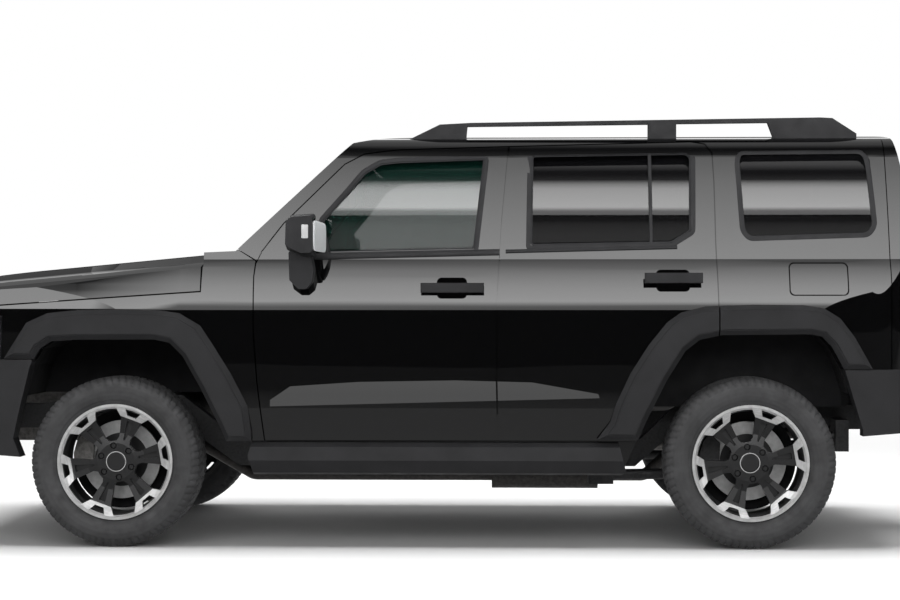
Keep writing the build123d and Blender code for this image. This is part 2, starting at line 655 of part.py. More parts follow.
# Side steps along the sills
STEP = (
    (872, 457), (905, 457), (930, 438), (936, 380), (918, 326), (890, 316), (800, 318),
    (800, 329), (872, 329),
)
STEP_SIDE = ((-880, 470), (-900, 400), (-870, 300), (690, 300), (735, 330), (700, 470))
with BuildPart() as side_steps:
    for side, hand in SIDES:
        outline = tuple((hand * y, z) for y, z in STEP)
        add(section_prism(outline, -950, 760) & side_prism(STEP_SIDE, hand * 500, hand * 1000))
side_steps.part.label = "side_steps"
export_step(side_steps.part, "parts/side_steps.step")

# Roof rails, each with two gaps under its bar
RAIL = (
    (-215, 1770), (-212, 1792), (-78, 1857), (60, 1864), (1612, 1884), (1665, 1881),
    (1771, 1812), (1771, 1770),
)
RAIL_GAPS = (
    ((30, 1700), (45, 1848), (849, 1856), (849, 1700)),
    ((974, 1700), (974, 1858), (1380, 1862), (1440, 1700)),
)
with BuildPart() as roof_rails:
    for side, hand in SIDES:
        bar = side_prism(RAIL, hand * 590, hand * 632)
        for gap in RAIL_GAPS:
            bar = bar - side_prism(gap, hand * 500, hand * 700)
        add(bar - CABIN)
roof_rails.part.label = "roof_rails"
export_step(roof_rails.part, "parts/roof_rails.step")

# Floor pan: bulkhead, footwell, seat step, load floor, tunnel and wheel housings
FLOOR_TOP = ((-985, 1225), (-985, 760), (-840, 500), (730, 500), (830, 715), (1905, 715))
FLOOR_GAUGE = 25
with BuildPart() as floor_pan:
    under = [(-1010, 1225), (-1010, 752), (-852, 475), (746, 475), (846, 690), (1905, 690)]
    add(side_prism(list(FLOOR_TOP) + under[::-1], -830, 830))
    for side, hand in SIDES:
        add(side_prism(REAR_ARCH, hand * 640, hand * 900), mode=Mode.SUBTRACT)
        shell = side_prism(REAR_ARCH, hand * 632, hand * 840, grow=8)
        room = side_prism(REAR_ARCH, hand * 640, hand * 1000)
        add((shell - room) & block(700, 1700, hand * 600, hand * 900, 600, 1000))
        add(block(1690, 1905, hand * 630, hand * 830, 690, 715))
    add(block(-1011, 80, -160, 160, 475, 640))
    add(block(-1100, 70, -148, 148, 380, 628), mode=Mode.SUBTRACT)
    add(INTERIOR, mode=Mode.INTERSECT)
floor_pan.part.label = "floor_pan"
export_step(floor_pan.part, "parts/floor_pan.step")

def caliper(x, hand):
    """A brake caliper round the front of a disc, with a running gap on each side."""
    claw = ((-204, -30), (-208, 30), (-192, 85), (-162, 120), (-118, 80), (-122, -20))
    outline = tuple((x + along, AXLE_Z + up) for along, up in claw)
    with BuildPart() as clamp:
        add(side_prism(outline, hand * 672, hand * 790, radius=8))
        slot = rod((x, hand * 739, AXLE_Z), (x, hand * 773, AXLE_Z), DISC_RADIUS + 6)
        add(slot, mode=Mode.SUBTRACT)
    return clamp.part


# Ladder frame
RAIL_IN, RAIL_OUT = 395, 470
RAIL_TOP = (
    (-2260, 600), (-1900, 600), (-1700, 640), (-1260, 640), (-1000, 440), (820, 440),
    (1010, 620), (1500, 640), (1750, 600), (1990, 600),
)
RAIL_UNDER = (
    (1990, 490), (1750, 490), (1520, 540), (1030, 520), (800, 320), (-1000, 320),
    (-1290, 530), (-1700, 530), (-1900, 490), (-2260, 490),
)

# Cross members as place along x, underside and top
CROSS_MEMBERS = (
    (-2200, 500, 590), (-1058, 378, 440), (60, 325, 380), (700, 295, 350),
    (1560, 550, 620), (1950, 500, 590),
)
OUTRIGGERS = (-700, -40, 560)
PUCK_RADIUS = 36
with BuildPart() as ladder_frame:
    for side, hand in SIDES:
        add(side_prism(RAIL_TOP + RAIL_UNDER, hand * RAIL_IN, hand * RAIL_OUT))
        for x in OUTRIGGERS:
            add(block(x - 40, x + 40, hand * RAIL_OUT, hand * 735, 370, 430))
            add(rod((x, hand * 690, 429), (x, hand * 690, 475), PUCK_RADIUS))
        add(block(1700, 1760, hand * 400, hand * 465, 600, 690))
        add(block(-1530, -1430, hand * 395, hand * 478, 600, 715))
        add(block(-1530, -1430, hand * 395, hand * 605, 690, 715))
        add(block(-1750, -1690, hand * 290.3, hand * RAIL_IN, 560, 600))
        for x in (-1680, -1330):
            add(block(x - 30, x + 30, hand * 395, hand * 470, 290, 600))
        add(block(585, 697, hand * (RAIL_OUT - 1), hand * 590, 250, 400))
        add(block(1681, 1739, hand * (RAIL_OUT - 1), hand * 620, 400, 540))
    add(block(-1710, -1300, -400, 400, 290, 340))
    for x, z_from, z_to in CROSS_MEMBERS:
        add(block(x - 35, x + 35, -400, 400, z_from, z_to))
ladder_frame.part.label = "ladder_frame"
export_step(ladder_frame.part, "parts/ladder_frame.step")

# Engine as a plain block, gearbox, transfer case and propeller shafts
DRIVE_Z = 540
with BuildPart() as drivetrain:
    add(block(-2080, -1330, -290, 290, 420, 980))
    add(rod((-1331, 0, DRIVE_Z), (-1095, 0, DRIVE_Z), 125))
    add(block(-1096, -560, -95, 95, 450, 610))
    add(block(-561, -240, -120, 120, 385, 600))
    add(rod((-241, 0, 430), (1095, 0, AXLE_Z + 15), 32))
drivetrain.part.label = "drivetrain"
export_step(drivetrain.part, "parts/drivetrain.step")

# Rear axle with its differential, links, springs and dampers
with BuildPart() as rear_axle:
    add(rod((REAR_AXLE_X, -700, AXLE_Z), (REAR_AXLE_X, 700, AXLE_Z), 42))
    with Locations((REAR_AXLE_X, 0, AXLE_Z)):
        Sphere(135)
    add(rod((1099, 0, AXLE_Z + 14), (REAR_AXLE_X, 0, AXLE_Z), 45))
    for side, hand in SIDES:
        add(rod((REAR_AXLE_X, hand * 700, AXLE_Z), (REAR_AXLE_X, hand * 736.7, AXLE_Z), 66))
        add(block(REAR_AXLE_X - 130, REAR_AXLE_X - 20, hand * 672, hand * 700, AXLE_Z - 20, AXLE_Z + 40))
        add(caliper(REAR_AXLE_X, hand))
        add(rod((640, hand * 560, 290), (REAR_AXLE_X, hand * 560, 300), 24))
        add(block(REAR_AXLE_X - 40, REAR_AXLE_X + 40, hand * 520, hand * 600, 275, 420))
        add(rod((REAR_AXLE_X, hand * 433, AXLE_Z), (REAR_AXLE_X, hand * 433, 545), 58))
        add(rod((REAR_AXLE_X, hand * 560, AXLE_Z), (1712, hand * 560, 470), 25))
    add(ladder_frame.part, mode=Mode.SUBTRACT)
rear_axle.part.label = "rear_axle"
export_step(rear_axle.part, "parts/rear_axle.step")

# Front suspension: lower and upper arms, each ending in a ball joint on the kingpin, and coil struts
LOWER_ARM_Z = (252, 289.7)
UPPER_ARM_Z = (530, 556)
LOWER_JOINT_RADIUS = 34
UPPER_JOINT_RADIUS = 26
with BuildPart() as front_suspension:
    for side, hand in SIDES:
        lower_arm = (
            (-1690, 400), (-1510, 694), (-1450, 694), (-1320, 400), (-1370, 400), (-1480, 600),
            (-1640, 400),
        )
        outline = tuple((x, hand * y) for x, y in lower_arm)
        add(plan_prism(outline, *LOWER_ARM_Z))
        upper_arm = (
            (-1600, 470.3), (-1502, 694), (-1458, 694), (-1360, 470.3), (-1400, 470.3),
            (-1480, 620), (-1560, 470.3),
        )
        outline = tuple((x, hand * y) for x, y in upper_arm)
        add(plan_prism(outline, *UPPER_ARM_Z))
        for heights, radius in ((LOWER_ARM_Z, LOWER_JOINT_RADIUS), (UPPER_ARM_Z, UPPER_JOINT_RADIUS)):
            low, high = heights
            ends = (FRONT_AXLE_X, hand * KINGPIN_Y)
            add(rod((*ends, low), (*ends, high), radius))
        add(rod((-1480, hand * 582, 285), (-1480, hand * 570, 420), 24))
        add(rod((-1480, hand * 576, 380), (-1480, hand * 556, 690), 48))
    add(ladder_frame.part, mode=Mode.SUBTRACT)
front_suspension.part.label = "front_suspension"
export_step(front_suspension.part, "parts/front_suspension.step")

# Front wheel housings: inner walls and arch liners, trimmed to what they meet
with BuildPart() as wheel_housings:
    for side, hand in SIDES:
        arch = side_prism(FRONT_ARCH, hand * 484, hand * 862, grow=8)
        room = side_prism(FRONT_ARCH, hand * 492, hand * 1000)
        low = block(-2500, -800, hand * 400, hand * 1000, 0, 655)
        add((arch - room) - low)
    for neighbour in (front_bumper, headlamps, ladder_frame, front_suspension):
        add(neighbour.part, mode=Mode.SUBTRACT)
    for wing in WINGS.values():
        add(wing, mode=Mode.SUBTRACT)
wheel_housings.part.label = "wheel_housings"
export_step(wheel_housings.part, "parts/wheel_housings.step")

# Fuel tank and exhaust
with BuildPart() as fuel_tank:
    tank = ((130, 470), (130, 330), (180, 290), (600, 290), (650, 330), (650, 470))
    add(side_prism(tank, 110, RAIL_IN - SEAT_GAP, radius=20))
fuel_tank.part.label = "fuel_tank"
export_step(fuel_tank.part, "parts/fuel_tank.step")

with BuildPart() as exhaust:
    path = (
        (-1200, -250, 400), (-960, -250, 262), (860, -250, 262), (1070, -285, 458),
        (1480, -285, 458), (1690, -290, 470), (1860, -300, 530),
    )
    with BuildLine():
        FilletPolyline(*path, radius=60)
    with BuildSketch(Plane((-1200, -250, 400), z_dir=(240, 0, -138))):
        Circle(27)
    sweep()
    add(rod((150, -250, 262), (640, -250, 262), 62))
    add(block(688, 712, -265, -235, 280, 295 - SEAT_GAP))
exhaust.part.label = "exhaust"
export_step(exhaust.part, "parts/exhaust.step")

# Dashboard, seats and steering wheel
DASH = (
    (-984.7, 1195), (-900, 1222), (-650, 1190), (-580, 1120), (-600, 1030), (-660, 900),
    (-760, 860), (-984.7, 860),
)
WHEEL_CENTRE = Vector(-470, -385, 1040)
COLUMN_RUN = Vector(170, 0, 55).normalized()
SHROUD_END = WHEEL_CENTRE - COLUMN_RUN * 75
with BuildPart() as dashboard:
    add(side_prism(DASH, WALL - 870, 870 - WALL))
    add(rod(SHROUD_END - COLUMN_RUN * 165, SHROUD_END, 42))
dashboard.part.label = "dashboard"
export_step(dashboard.part, "parts/dashboard.step")

SEATS = ((-380, 250, 40), (380, 250, 40))
CUSHION = ((-330, 560), (-330, 745), (-290, 770), (100, 720), (180, 720), (200, 560))
BACKREST = ((70, 700), (175, 700), (320, 1260), (240, 1290))
HEADREST = ((258, 1310), (265, 1450), (330, 1450), (345, 1310))
REAR_SEAT = (
    (560, 575), (560, 745), (600, 768), (1000, 745), (1110, 1240), (1190, 1240), (1135, 715.3),
    (815, 715.3), (745, 575),
)
with BuildPart() as seats:
    for y in (-385, 385):
        add(side_prism(CUSHION, y - 215, y + 215, radius=20))
        add(side_prism(BACKREST, y - 230, y + 230, radius=20))
        add(side_prism(HEADREST, y - 130, y + 130, radius=20))
        add(block(275, 305, y - 80, y + 80, 1240, 1330))
        add(block(-250, 100, y - 190, y + 190, 500, 570))
    add(side_prism(REAR_SEAT, -610, 610, radius=8))
    for y in (-370, 370):
        add(block(1130, 1190, y - 120, y + 120, 1230, 1400))
seats.part.label = "seats"
export_step(seats.part, "parts/seats.step")

with BuildPart() as steering_wheel:
    wheel_plane = Plane(WHEEL_CENTRE, z_dir=COLUMN_RUN)
    add(Torus(178, 15, mode=Mode.PRIVATE).moved(wheel_plane.location))
    with BuildSketch(wheel_plane):
        Circle(60)
        Rectangle(30, 350)
    extrude(amount=22, both=True)
    add(rod(SHROUD_END + COLUMN_RUN * SEAT_GAP, WHEEL_CENTRE, 25))
steering_wheel.part.label = "steering_wheel"
export_step(steering_wheel.part, "parts/steering_wheel.step")


def turned(profile, hand=-1):
    """A ring turned about the axle from a profile of places along it and radii."""
    with BuildPart() as ring:
        with BuildSketch(Plane.XY):
            with BuildLine():
                places = [(hand * (HALF_TRACK + along), radius) for along, radius in profile]
                Polyline(*places, close=True)
            make_face()
        revolve(axis=Axis.X)
    return ring.part.moved(Location((0, 0, 0), (0, 0, 90)))


def wheel_plane_at(angle, along):
    """A plane square to the left wheel's axle, its own x turned to an angle about it."""
    x_dir = (cos(radians(angle)), 0, sin(radians(angle)))
    return Plane((0, -HALF_TRACK - along, 0), x_dir=x_dir, z_dir=(0, -1, 0))


TYRE_PROFILE = (
    (-106, SEAT_RADIUS), (-108, 264), (-120, 280), (-127.5, 310), (-124, 345), (-112, 362),
    (-94, TYRE_RADIUS), (94, TYRE_RADIUS), (112, 362), (124, 345), (127.5, 310), (120, 280),
    (108, 264), (106, SEAT_RADIUS),
)
BARREL_PROFILE = (
    (-114, 240), (-114, FLANGE_RADIUS), (-108.5, FLANGE_RADIUS), (-108.5, 242.7),
    (108.5, 242.7), (108.5, FLANGE_RADIUS), (114, FLANGE_RADIUS), (114, 240), (100, 228),
    (60, 222), (-40, 226), (-100, 230),
)
FACE_PROFILE = (
    (54, 30), (84, 30), (84, 80), (76, 125), (86, 190), (108, 224), (112, 243), (98, 243),
    (84, 224), (62, 190), (50, 125), (54, 80),
)
CAP_PROFILE = ((54, 0), (90, 0), (90, 36), (86, 41), (86, 44), (54, 44))
HUB_PROFILE = ((HUB_FACE, 0), (HUB_FACE, 74), (-20, 74), (56, 70), (56, 0))
DISC_PROFILE = ((-60, 73), (-60, DISC_RADIUS), (-36, DISC_RADIUS), (-36, 73))
RING_RADIUS = 241
WINDOW = ((90, -17), (104, -31), (188, -56), (250, -42), (250, 42), (188, 56), (104, 31), (90, 17))
POCKET = ((206, -20), (250, -46), (250, 46), (206, 20))
CHANNEL = ((98, -4), (182, -15), (182, 15), (98, 4))
NUT_CIRCLE = 69.85
NUT_RECESS = 14
NUT_RADIUS = 10.5
NUT_FLOOR = 62
NUT_HEIGHT = 18
CHANNEL_FLOOR = 70
SPOKE_ANGLE = 10


# One rim, turned and then cut spoke by spoke, at the left end of an axle over the origin
with BuildPart() as pattern:
    add(turned(FACE_PROFILE))
    for spoke in range(SPOKES):
        angle = SPOKE_ANGLE + spoke * 360 / SPOKES
        between = angle + 180 / SPOKES
        for outline, turn, floor in (
            (WINDOW, between, 0),
            (POCKET, angle, 0),
            (CHANNEL, angle, CHANNEL_FLOOR),
        ):
            with BuildSketch(wheel_plane_at(turn, floor)):
                with BuildLine():
                    FilletPolyline(*outline, radius=2.5, close=True)
                make_face()
                Circle(RING_RADIUS, mode=Mode.INTERSECT)
            extrude(amount=150, mode=Mode.SUBTRACT)
        with BuildSketch(wheel_plane_at(between, NUT_FLOOR)):
            with Locations((NUT_CIRCLE, 0)):
                Circle(NUT_RECESS)
        extrude(amount=60, mode=Mode.SUBTRACT)
        with BuildSketch(wheel_plane_at(between, NUT_FLOOR)):
            with Locations((NUT_CIRCLE, 0)):
                RegularPolygon(NUT_RADIUS, 6)
        extrude(amount=NUT_HEIGHT)
    for profile in (BARREL_PROFILE, HUB_PROFILE, DISC_PROFILE, CAP_PROFILE):
        add(turned(profile))

AXLES = (("front", FRONT_AXLE_X), ("rear", REAR_AXLE_X))
RIMS = {-1: pattern.part, 1: pattern.part.mirror(Plane.XZ)}
for side, hand in SIDES:
    for axle, axle_x in AXLES:
        place = Location((axle_x, 0, AXLE_Z))
        with BuildPart() as tyre:
            add(turned(TYRE_PROFILE, hand).moved(place))
        tyre.part.label = f"{side}_{axle}_tyre"
        export_step(tyre.part, f"parts/{side}_{axle}_tyre.step")

        with BuildPart() as rim:
            add(RIMS[hand].moved(place))
        rim.part.label = f"{side}_{axle}_rim"
        export_step(rim.part, f"parts/{side}_{axle}_rim.step")

    # Steering knuckle on its two ball joints, with its brake caliper
    with BuildPart() as knuckle:
        x, y = FRONT_AXLE_X, hand * KINGPIN_Y
        add(rod((x, hand * 680, AXLE_Z), (x, hand * 736.7, AXLE_Z), 62))
        low, high = LOWER_ARM_Z[1] + SEAT_GAP, UPPER_ARM_Z[0] - SEAT_GAP
        add(rod((x, y, low), (x, y, low + 40), 32))
        add(rod((x, y, low), (x, y, high), 24))
        add(block(x + 20, x + 175, hand * 672, hand * 700, AXLE_Z - 30, AXLE_Z + 30))
        add(block(x - 130, x - 20, hand * 672, hand * 700, AXLE_Z - 20, AXLE_Z + 40))
        add(caliper(x, hand))
    knuckle.part.label = f"{side}_knuckle"
    export_step(knuckle.part, f"parts/{side}_knuckle.step")

# Spare wheel on its carrier, under a plain cover
SPARE_Z = 1060
SPARE_PROFILE = (
    (2118, 0), (2118, 330), (2135, 362), (2160, 366), (2330, 366), (2365, 350),
    (TAIL_X, 300), (TAIL_X, 0),
)
with BuildPart() as cover:
    with BuildSketch(Plane.XY):
        with BuildLine():
            Polyline(*SPARE_PROFILE, close=True)
        make_face()
    revolve(axis=Axis.X)
with BuildPart() as spare_wheel:
    add(cover.part.moved(Location((0, 0, SPARE_Z))))
    add(block(1990, 2119, -110, 110, SPARE_Z - 110, SPARE_Z + 110) - CABIN)
spare_wheel.part.label = "spare_wheel"
export_step(spare_wheel.part, "parts/spare_wheel.step")
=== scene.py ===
"""The finish of a boxy sport utility vehicle: tyres, trim, glass, lamps, seats and studio.

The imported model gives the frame, in metres: the front points towards -X, the left side
towards -Y and Z is up. Every piece lies in that frame and rides on one of its bodies.
"""

import math

import bmesh
import bpy
import numpy as np
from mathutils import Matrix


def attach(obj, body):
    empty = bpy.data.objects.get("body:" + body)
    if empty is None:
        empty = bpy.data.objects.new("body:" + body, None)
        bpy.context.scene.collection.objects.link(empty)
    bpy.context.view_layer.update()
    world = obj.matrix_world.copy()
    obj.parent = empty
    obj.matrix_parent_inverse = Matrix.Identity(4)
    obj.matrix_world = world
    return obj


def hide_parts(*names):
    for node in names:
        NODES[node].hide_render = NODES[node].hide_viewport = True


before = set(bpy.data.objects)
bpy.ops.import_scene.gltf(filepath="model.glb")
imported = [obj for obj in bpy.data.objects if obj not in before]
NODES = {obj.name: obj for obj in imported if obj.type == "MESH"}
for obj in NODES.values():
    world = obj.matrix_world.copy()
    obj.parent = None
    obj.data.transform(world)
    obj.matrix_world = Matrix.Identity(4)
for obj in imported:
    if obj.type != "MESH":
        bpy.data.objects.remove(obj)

bl_info = {
    "name": "Sport Utility Vehicle Finish",
    "version": (1, 0, 0),
    "blender": (4, 5, 0),
    "location": "View3D > Sidebar > Vehicle",
    "description": "Paint, tyres, trim, glass, lamps and seats for a packed vehicle",
    "category": "Object",
}

SIDES = (("left", -1), ("right", 1))
AXLES = (("front", -1.480), ("rear", 1.270))
AXLE_Z = 0.370
HALF_TRACK = 0.804
SPOKE_ANGLE = math.radians(10)


# Mesh helpers


def put_mesh(name, points, faces, body, material, smooth=True):
    """A new object from an array of points and a list of faces, riding on a body."""
    mesh = bpy.data.meshes.new(name)
    mesh.from_pydata(np.asarray(points, float).reshape(-1, 3).tolist(), [], faces)
    shell = bmesh.new()
    shell.from_mesh(mesh)
    bmesh.ops.remove_doubles(shell, verts=shell.verts, dist=1e-5)
    bmesh.ops.recalc_face_normals(shell, faces=shell.faces)
    shell.to_mesh(mesh)
    shell.free()
    mesh.polygons.foreach_set("use_smooth", [smooth] * len(mesh.polygons))
    mesh.materials.append(material)
    piece = bpy.data.objects.new(name, mesh)
    bpy.context.scene.collection.objects.link(piece)
    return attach(piece, body)


def grid_faces(rows, columns, wrap_rows=False, wrap_columns=False, start=0):
    """Quads between neighbouring points of a grid, wrapped round where it closes."""
    row = np.arange(rows if wrap_rows else rows - 1)
    column = np.arange(columns if wrap_columns else columns - 1)
    r, c = np.meshgrid(row, column, indexing="ij")
    r2, c2 = (r + 1) % rows, (c + 1) % columns
    quads = np.stack([r * columns + c, r * columns + c2, r2 * columns + c2, r2 * columns + c])
    return (quads.reshape(4, -1).T + start).tolist()


def put_grid(name, points, body, material, wrap_rows=False, wrap_columns=False, caps=False, smooth=True):
    """A surface through a grid of points; caps closes its first and last rows."""
    rows, columns = points.shape[:2]
    faces = grid_faces(rows, columns, wrap_rows, wrap_columns)
    if caps:
        faces.append(list(range(columns))[::-1])
        faces.append(list(range((rows - 1) * columns, rows * columns)))
    return put_mesh(name, points, faces, body, material, smooth)


def joined(parts):
    """Points and faces of several (points, faces) parts as one mesh."""
    points, faces, start = [], [], 0
    for part_points, part_faces in parts:
        part_points = np.asarray(part_points, float).reshape(-1, 3)
        points.append(part_points)
        faces.extend([[i + start for i in face] for face in part_faces])
        start += len(part_points)
    return np.concatenate(points), faces


def bevelled(piece, width, segments=2):
    """Rounds a piece's sharp edges with a bevel of that width."""
    bevel = piece.modifiers.new("Rounded edges", "BEVEL")
    bevel.width = width
    bevel.segments = segments
    bevel.limit_method = "ANGLE"
    bevel.angle_limit = math.radians(35)
    return piece


def plate(outline, near, far):
    """A closed outline, an array of points, joined to its copy: points from near to far. The argument outline is not
    used.
    """
    count = len(near)
    faces = grid_faces(2, count, wrap_columns=True)
    faces.append(list(range(count))[::-1])
    faces.append(list(range(count, 2 * count)))
    return np.concatenate([near, far]), faces


def side_plate(outline, y_near, y_far):
    """An outline in x and z carried from y_near to y_far; each may be a value or an array."""
    outline = np.asarray(outline, float)
    near = np.column_stack([outline[:, 0], np.broadcast_to(y_near, len(outline)), outline[:, 1]])
    far = np.column_stack([outline[:, 0], np.broadcast_to(y_far, len(outline)), outline[:, 1]])
    return plate(outline, near, far)


def brick(low, high):
    """A plain block between two corners, for a piece that is then bevelled."""
    low, high = np.minimum(low, high), np.maximum(low, high)
    x, y, z = (np.array([a, b]) for a, b in zip(low, high))
    near = np.array([(x[0], y[0], z[0]), (x[1], y[0], z[0]), (x[1], y[1], z[0]), (x[0], y[1], z[0])])
    far = near.copy()
    far[:, 2] = z[1]
    return plate(None, near, far)


def rounded(points, radius, steps=6):
    """A closed outline with each corner replaced by an arc tangent to both edges.

    The arc is a quadratic curve from a point radius before the corner to one radius
    after it, with the corner as its control point.
    """
    points = np.asarray(points, float)
    before = np.roll(points, 1, axis=0) - points
    after = np.roll(points, -1, axis=0) - points
    before_length = np.linalg.norm(before, axis=1, keepdims=True)
    after_length = np.linalg.norm(after, axis=1, keepdims=True)
    reach = np.minimum(radius, 0.45 * np.minimum(before_length, after_length))
    start = points + before / before_length * reach
    end = points + after / after_length * reach
    t = np.linspace(0, 1, steps)[None, :, None]
    arcs = (1 - t) ** 2 * start[:, None] + 2 * t * (1 - t) * points[:, None] + t**2 * end[:, None]
    return arcs.reshape(-1, points.shape[1])


def tube(path, radius, segments=12, closed=False):
    """A round tube along a path: rings square to the direction between neighbours."""
    path = np.asarray(path, float)
    if closed:
        along = np.roll(path, -1, axis=0) - np.roll(path, 1, axis=0)
    else:
        along = np.gradient(path, axis=0)
    along /= np.linalg.norm(along, axis=1, keepdims=True)
    guide = np.where(np.abs(along[:, 2:3]) > 0.9, [[1.0, 0, 0]], [[0, 0, 1.0]])
    across = np.cross(along, guide)
    across /= np.linalg.norm(across, axis=1, keepdims=True)
    up = np.cross(across, along)
    angle = np.linspace(0, 2 * np.pi, segments, endpoint=False)
    radius = np.broadcast_to(radius, len(path))[:, None, None]
    ring = np.cos(angle)[None, :, None] * across[:, None] + np.sin(angle)[None, :, None] * up[:, None]
    points = path[:, None] + ring * radius
    rows, columns = points.shape[:2]
    faces = grid_faces(rows, columns, wrap_rows=closed, wrap_columns=True)
    if not closed:
        faces.append(list(range(columns))[::-1])
        faces.append(list(range((rows - 1) * columns, rows * columns)))
    return points.reshape(-1, 3), faces


def turned(profile, centre, hand, segments=96, closed=True):
    """A profile of places along the wheel's axis and radii, turned about that axis."""
    profile = np.asarray(profile, float)
    angle = np.linspace(0, 2 * np.pi, segments, endpoint=False)[:, None]
    along, radius = profile[None, :, 0], profile[None, :, 1]
    points = np.stack(
        [
            centre[0] + radius * np.cos(angle),
            np.broadcast_to(centre[1] + hand * along, (segments, profile.shape[0])),
            centre[2] + radius * np.sin(angle),
        ],
        axis=-1,
    )
    return points.reshape(-1, 3), grid_faces(segments, len(profile), True, closed)


SKIN_HEIGHTS = (0.820, 1.030, 1.146, 1.250, 1.480, 1.700, 1.762)
SKIN_HALF_WIDTHS = (0.930, 0.925, 0.906, 0.866, 0.806, 0.735, 0.692)


def skin(z):
    """Half width of the doors' outer face at a height."""
    return np.interp(z, SKIN_HEIGHTS, SKIN_HALF_WIDTHS)


def fine(points, parts=8):
    """A closed outline with each edge cut into equal parts."""
    points = np.asarray(points, float)
    t = np.linspace(0, 1, parts, endpoint=False)[None, :, None]
    cut = (1 - t) * points[:, None] + t * np.roll(points, -1, axis=0)[:, None]
    return cut.reshape(-1, points.shape[1])


def inset(points, distance):
    """A closed outline moved inwards by a distance, with mitred corners."""
    points = np.asarray(points, float)
    edge = np.roll(points, -1, axis=0) - points
    edge /= np.linalg.norm(edge, axis=1, keepdims=True)
    normal = np.column_stack([-edge[:, 1], edge[:, 0]])
    x, z = points.T
    area = np.sum(x * np.roll(z, -1) - np.roll(x, -1) * z)
    normal *= np.sign(area)
    before = np.roll(normal, 1, axis=0)
    mitre = (before + normal) / (1 + np.sum(before * normal, axis=1, keepdims=True))
    return points + mitre * distance


def window_frame(outline, width, radius, hand, proud, depth, steps=7):
    """A moulding round a window: four rings of points, back and front of two outlines.

    The outer outline is inset by the width to give the inner one, both are rounded and
    cut finely, and each point lies on the door's face or a set depth behind it.
    """
    outer = fine(rounded(np.asarray(outline), radius, steps), 3)
    inner = fine(rounded(inset(outline, width), max(radius - width, 0.006), steps), 3)
    rings = []
    for ring, lift in ((outer, -depth), (outer, proud), (inner, proud), (inner, -depth)):
        y = hand * (skin(ring[:, 1]) + lift)
        rings.append(np.column_stack([ring[:, 0], y, ring[:, 1]]))
    return np.stack(rings)


def moulding(start, end, hand, height=0.022, proud=0.007, count=24):
    """A rounded strip along a door's face between two points of x and z.

    Its section is half an ellipse, as high as the strip and standing proud of the face.
    """
    t = np.linspace(0, 1, count)[:, None]
    angle = np.linspace(0, np.pi, 9)[None, :]
    x = start[0] + (end[0] - start[0]) * t + 0 * angle
    z = start[1] + (end[1] - start[1]) * t + height / 2 * np.cos(angle)
    lift = np.sin(angle) * proud - 0.001
    return np.stack([x, hand * (skin(z) + lift), z], axis=-1)


# Materials


def shader_material(name, colour, **sockets):
    """A material whose Principled shader takes a colour and the values of its sockets."""
    material = bpy.data.materials.new(name)
    material.use_nodes = True
    shader = material.node_tree.nodes["Principled BSDF"]
    shader.inputs["Base Color"].default_value = (*colour, 1)
    for socket, value in sockets.items():
        shader.inputs[socket.replace("_", " ")].default_value = value
    material.diffuse_color = (*colour, 1)
    return material


def link(material, *pairs):
    """Joins node sockets, each pair an output and an input."""
    for output, target in pairs:
        material.node_tree.links.new(output, target)


def noise(material, scale, detail=4.0, stretch=(1, 1, 1)):
    """A noise pattern on Object coordinates, with its own stretch along each axis."""
    nodes = material.node_tree.nodes
    place = nodes.new("ShaderNodeTexCoord")
    mapping = nodes.new("ShaderNodeMapping")
    mapping.inputs["Scale"].default_value = stretch
    pattern = nodes.new("ShaderNodeTexNoise")
    pattern.inputs["Scale"].default_value = scale
    pattern.inputs["Detail"].default_value = detail
    link(material, (place.outputs["Object"], mapping.inputs["Vector"]), (mapping.outputs["Vector"], pattern.inputs["Vector"]))
    return pattern.outputs["Fac"]


def ramped(material, value, low, high, low_at=0.35, high_at=0.65):
    """A value spread over a ramp between two numbers or two colours."""
    ramp = material.node_tree.nodes.new("ShaderNodeValToRGB")
    first, last = ramp.color_ramp.elements
    first.position, last.position = low_at, high_at
    first.color = (*low, 1) if isinstance(low, tuple) else (low, low, low, 1)
    last.color = (*high, 1) if isinstance(high, tuple) else (high, high, high, 1)
    link(material, (value, ramp.inputs["Fac"]))
    return ramp.outputs["Color"]


def into(material, socket, value):
    """Feeds a node output into a socket of the material's shader."""
    shader = material.node_tree.nodes["Principled BSDF"]
    link(material, (value, shader.inputs[socket]))


def bumped(material, value, strength, distance):
    """Raises the surface by a pattern."""
    bump = material.node_tree.nodes.new("ShaderNodeBump")
    bump.inputs["Strength"].default_value = strength
    bump.inputs["Distance"].default_value = distance
    link(material, (value, bump.inputs["Height"]))
    into(material, "Normal", bump.outputs["Normal"])
    return material


def gloss_paint(name, colour):
    """Black paint under a clear coat, with a faint flake and a faint ripple under the coat."""
    paint = shader_material(name, colour, Roughness=0.4, Specular_IOR_Level=0.0, Coat_Weight=1.0, Coat_Roughness=0.01, Coat_IOR=1.53)
    flake = noise(paint, 900.0, 2.0)
    deep = tuple(0.75 * c for c in colour)
    light = tuple(1.6 * c for c in colour)
    into(paint, "Base Color", ramped(paint, flake, deep, light))
    return bumped(paint, noise(paint, 6.0, 1.0), 0.02, 0.002)


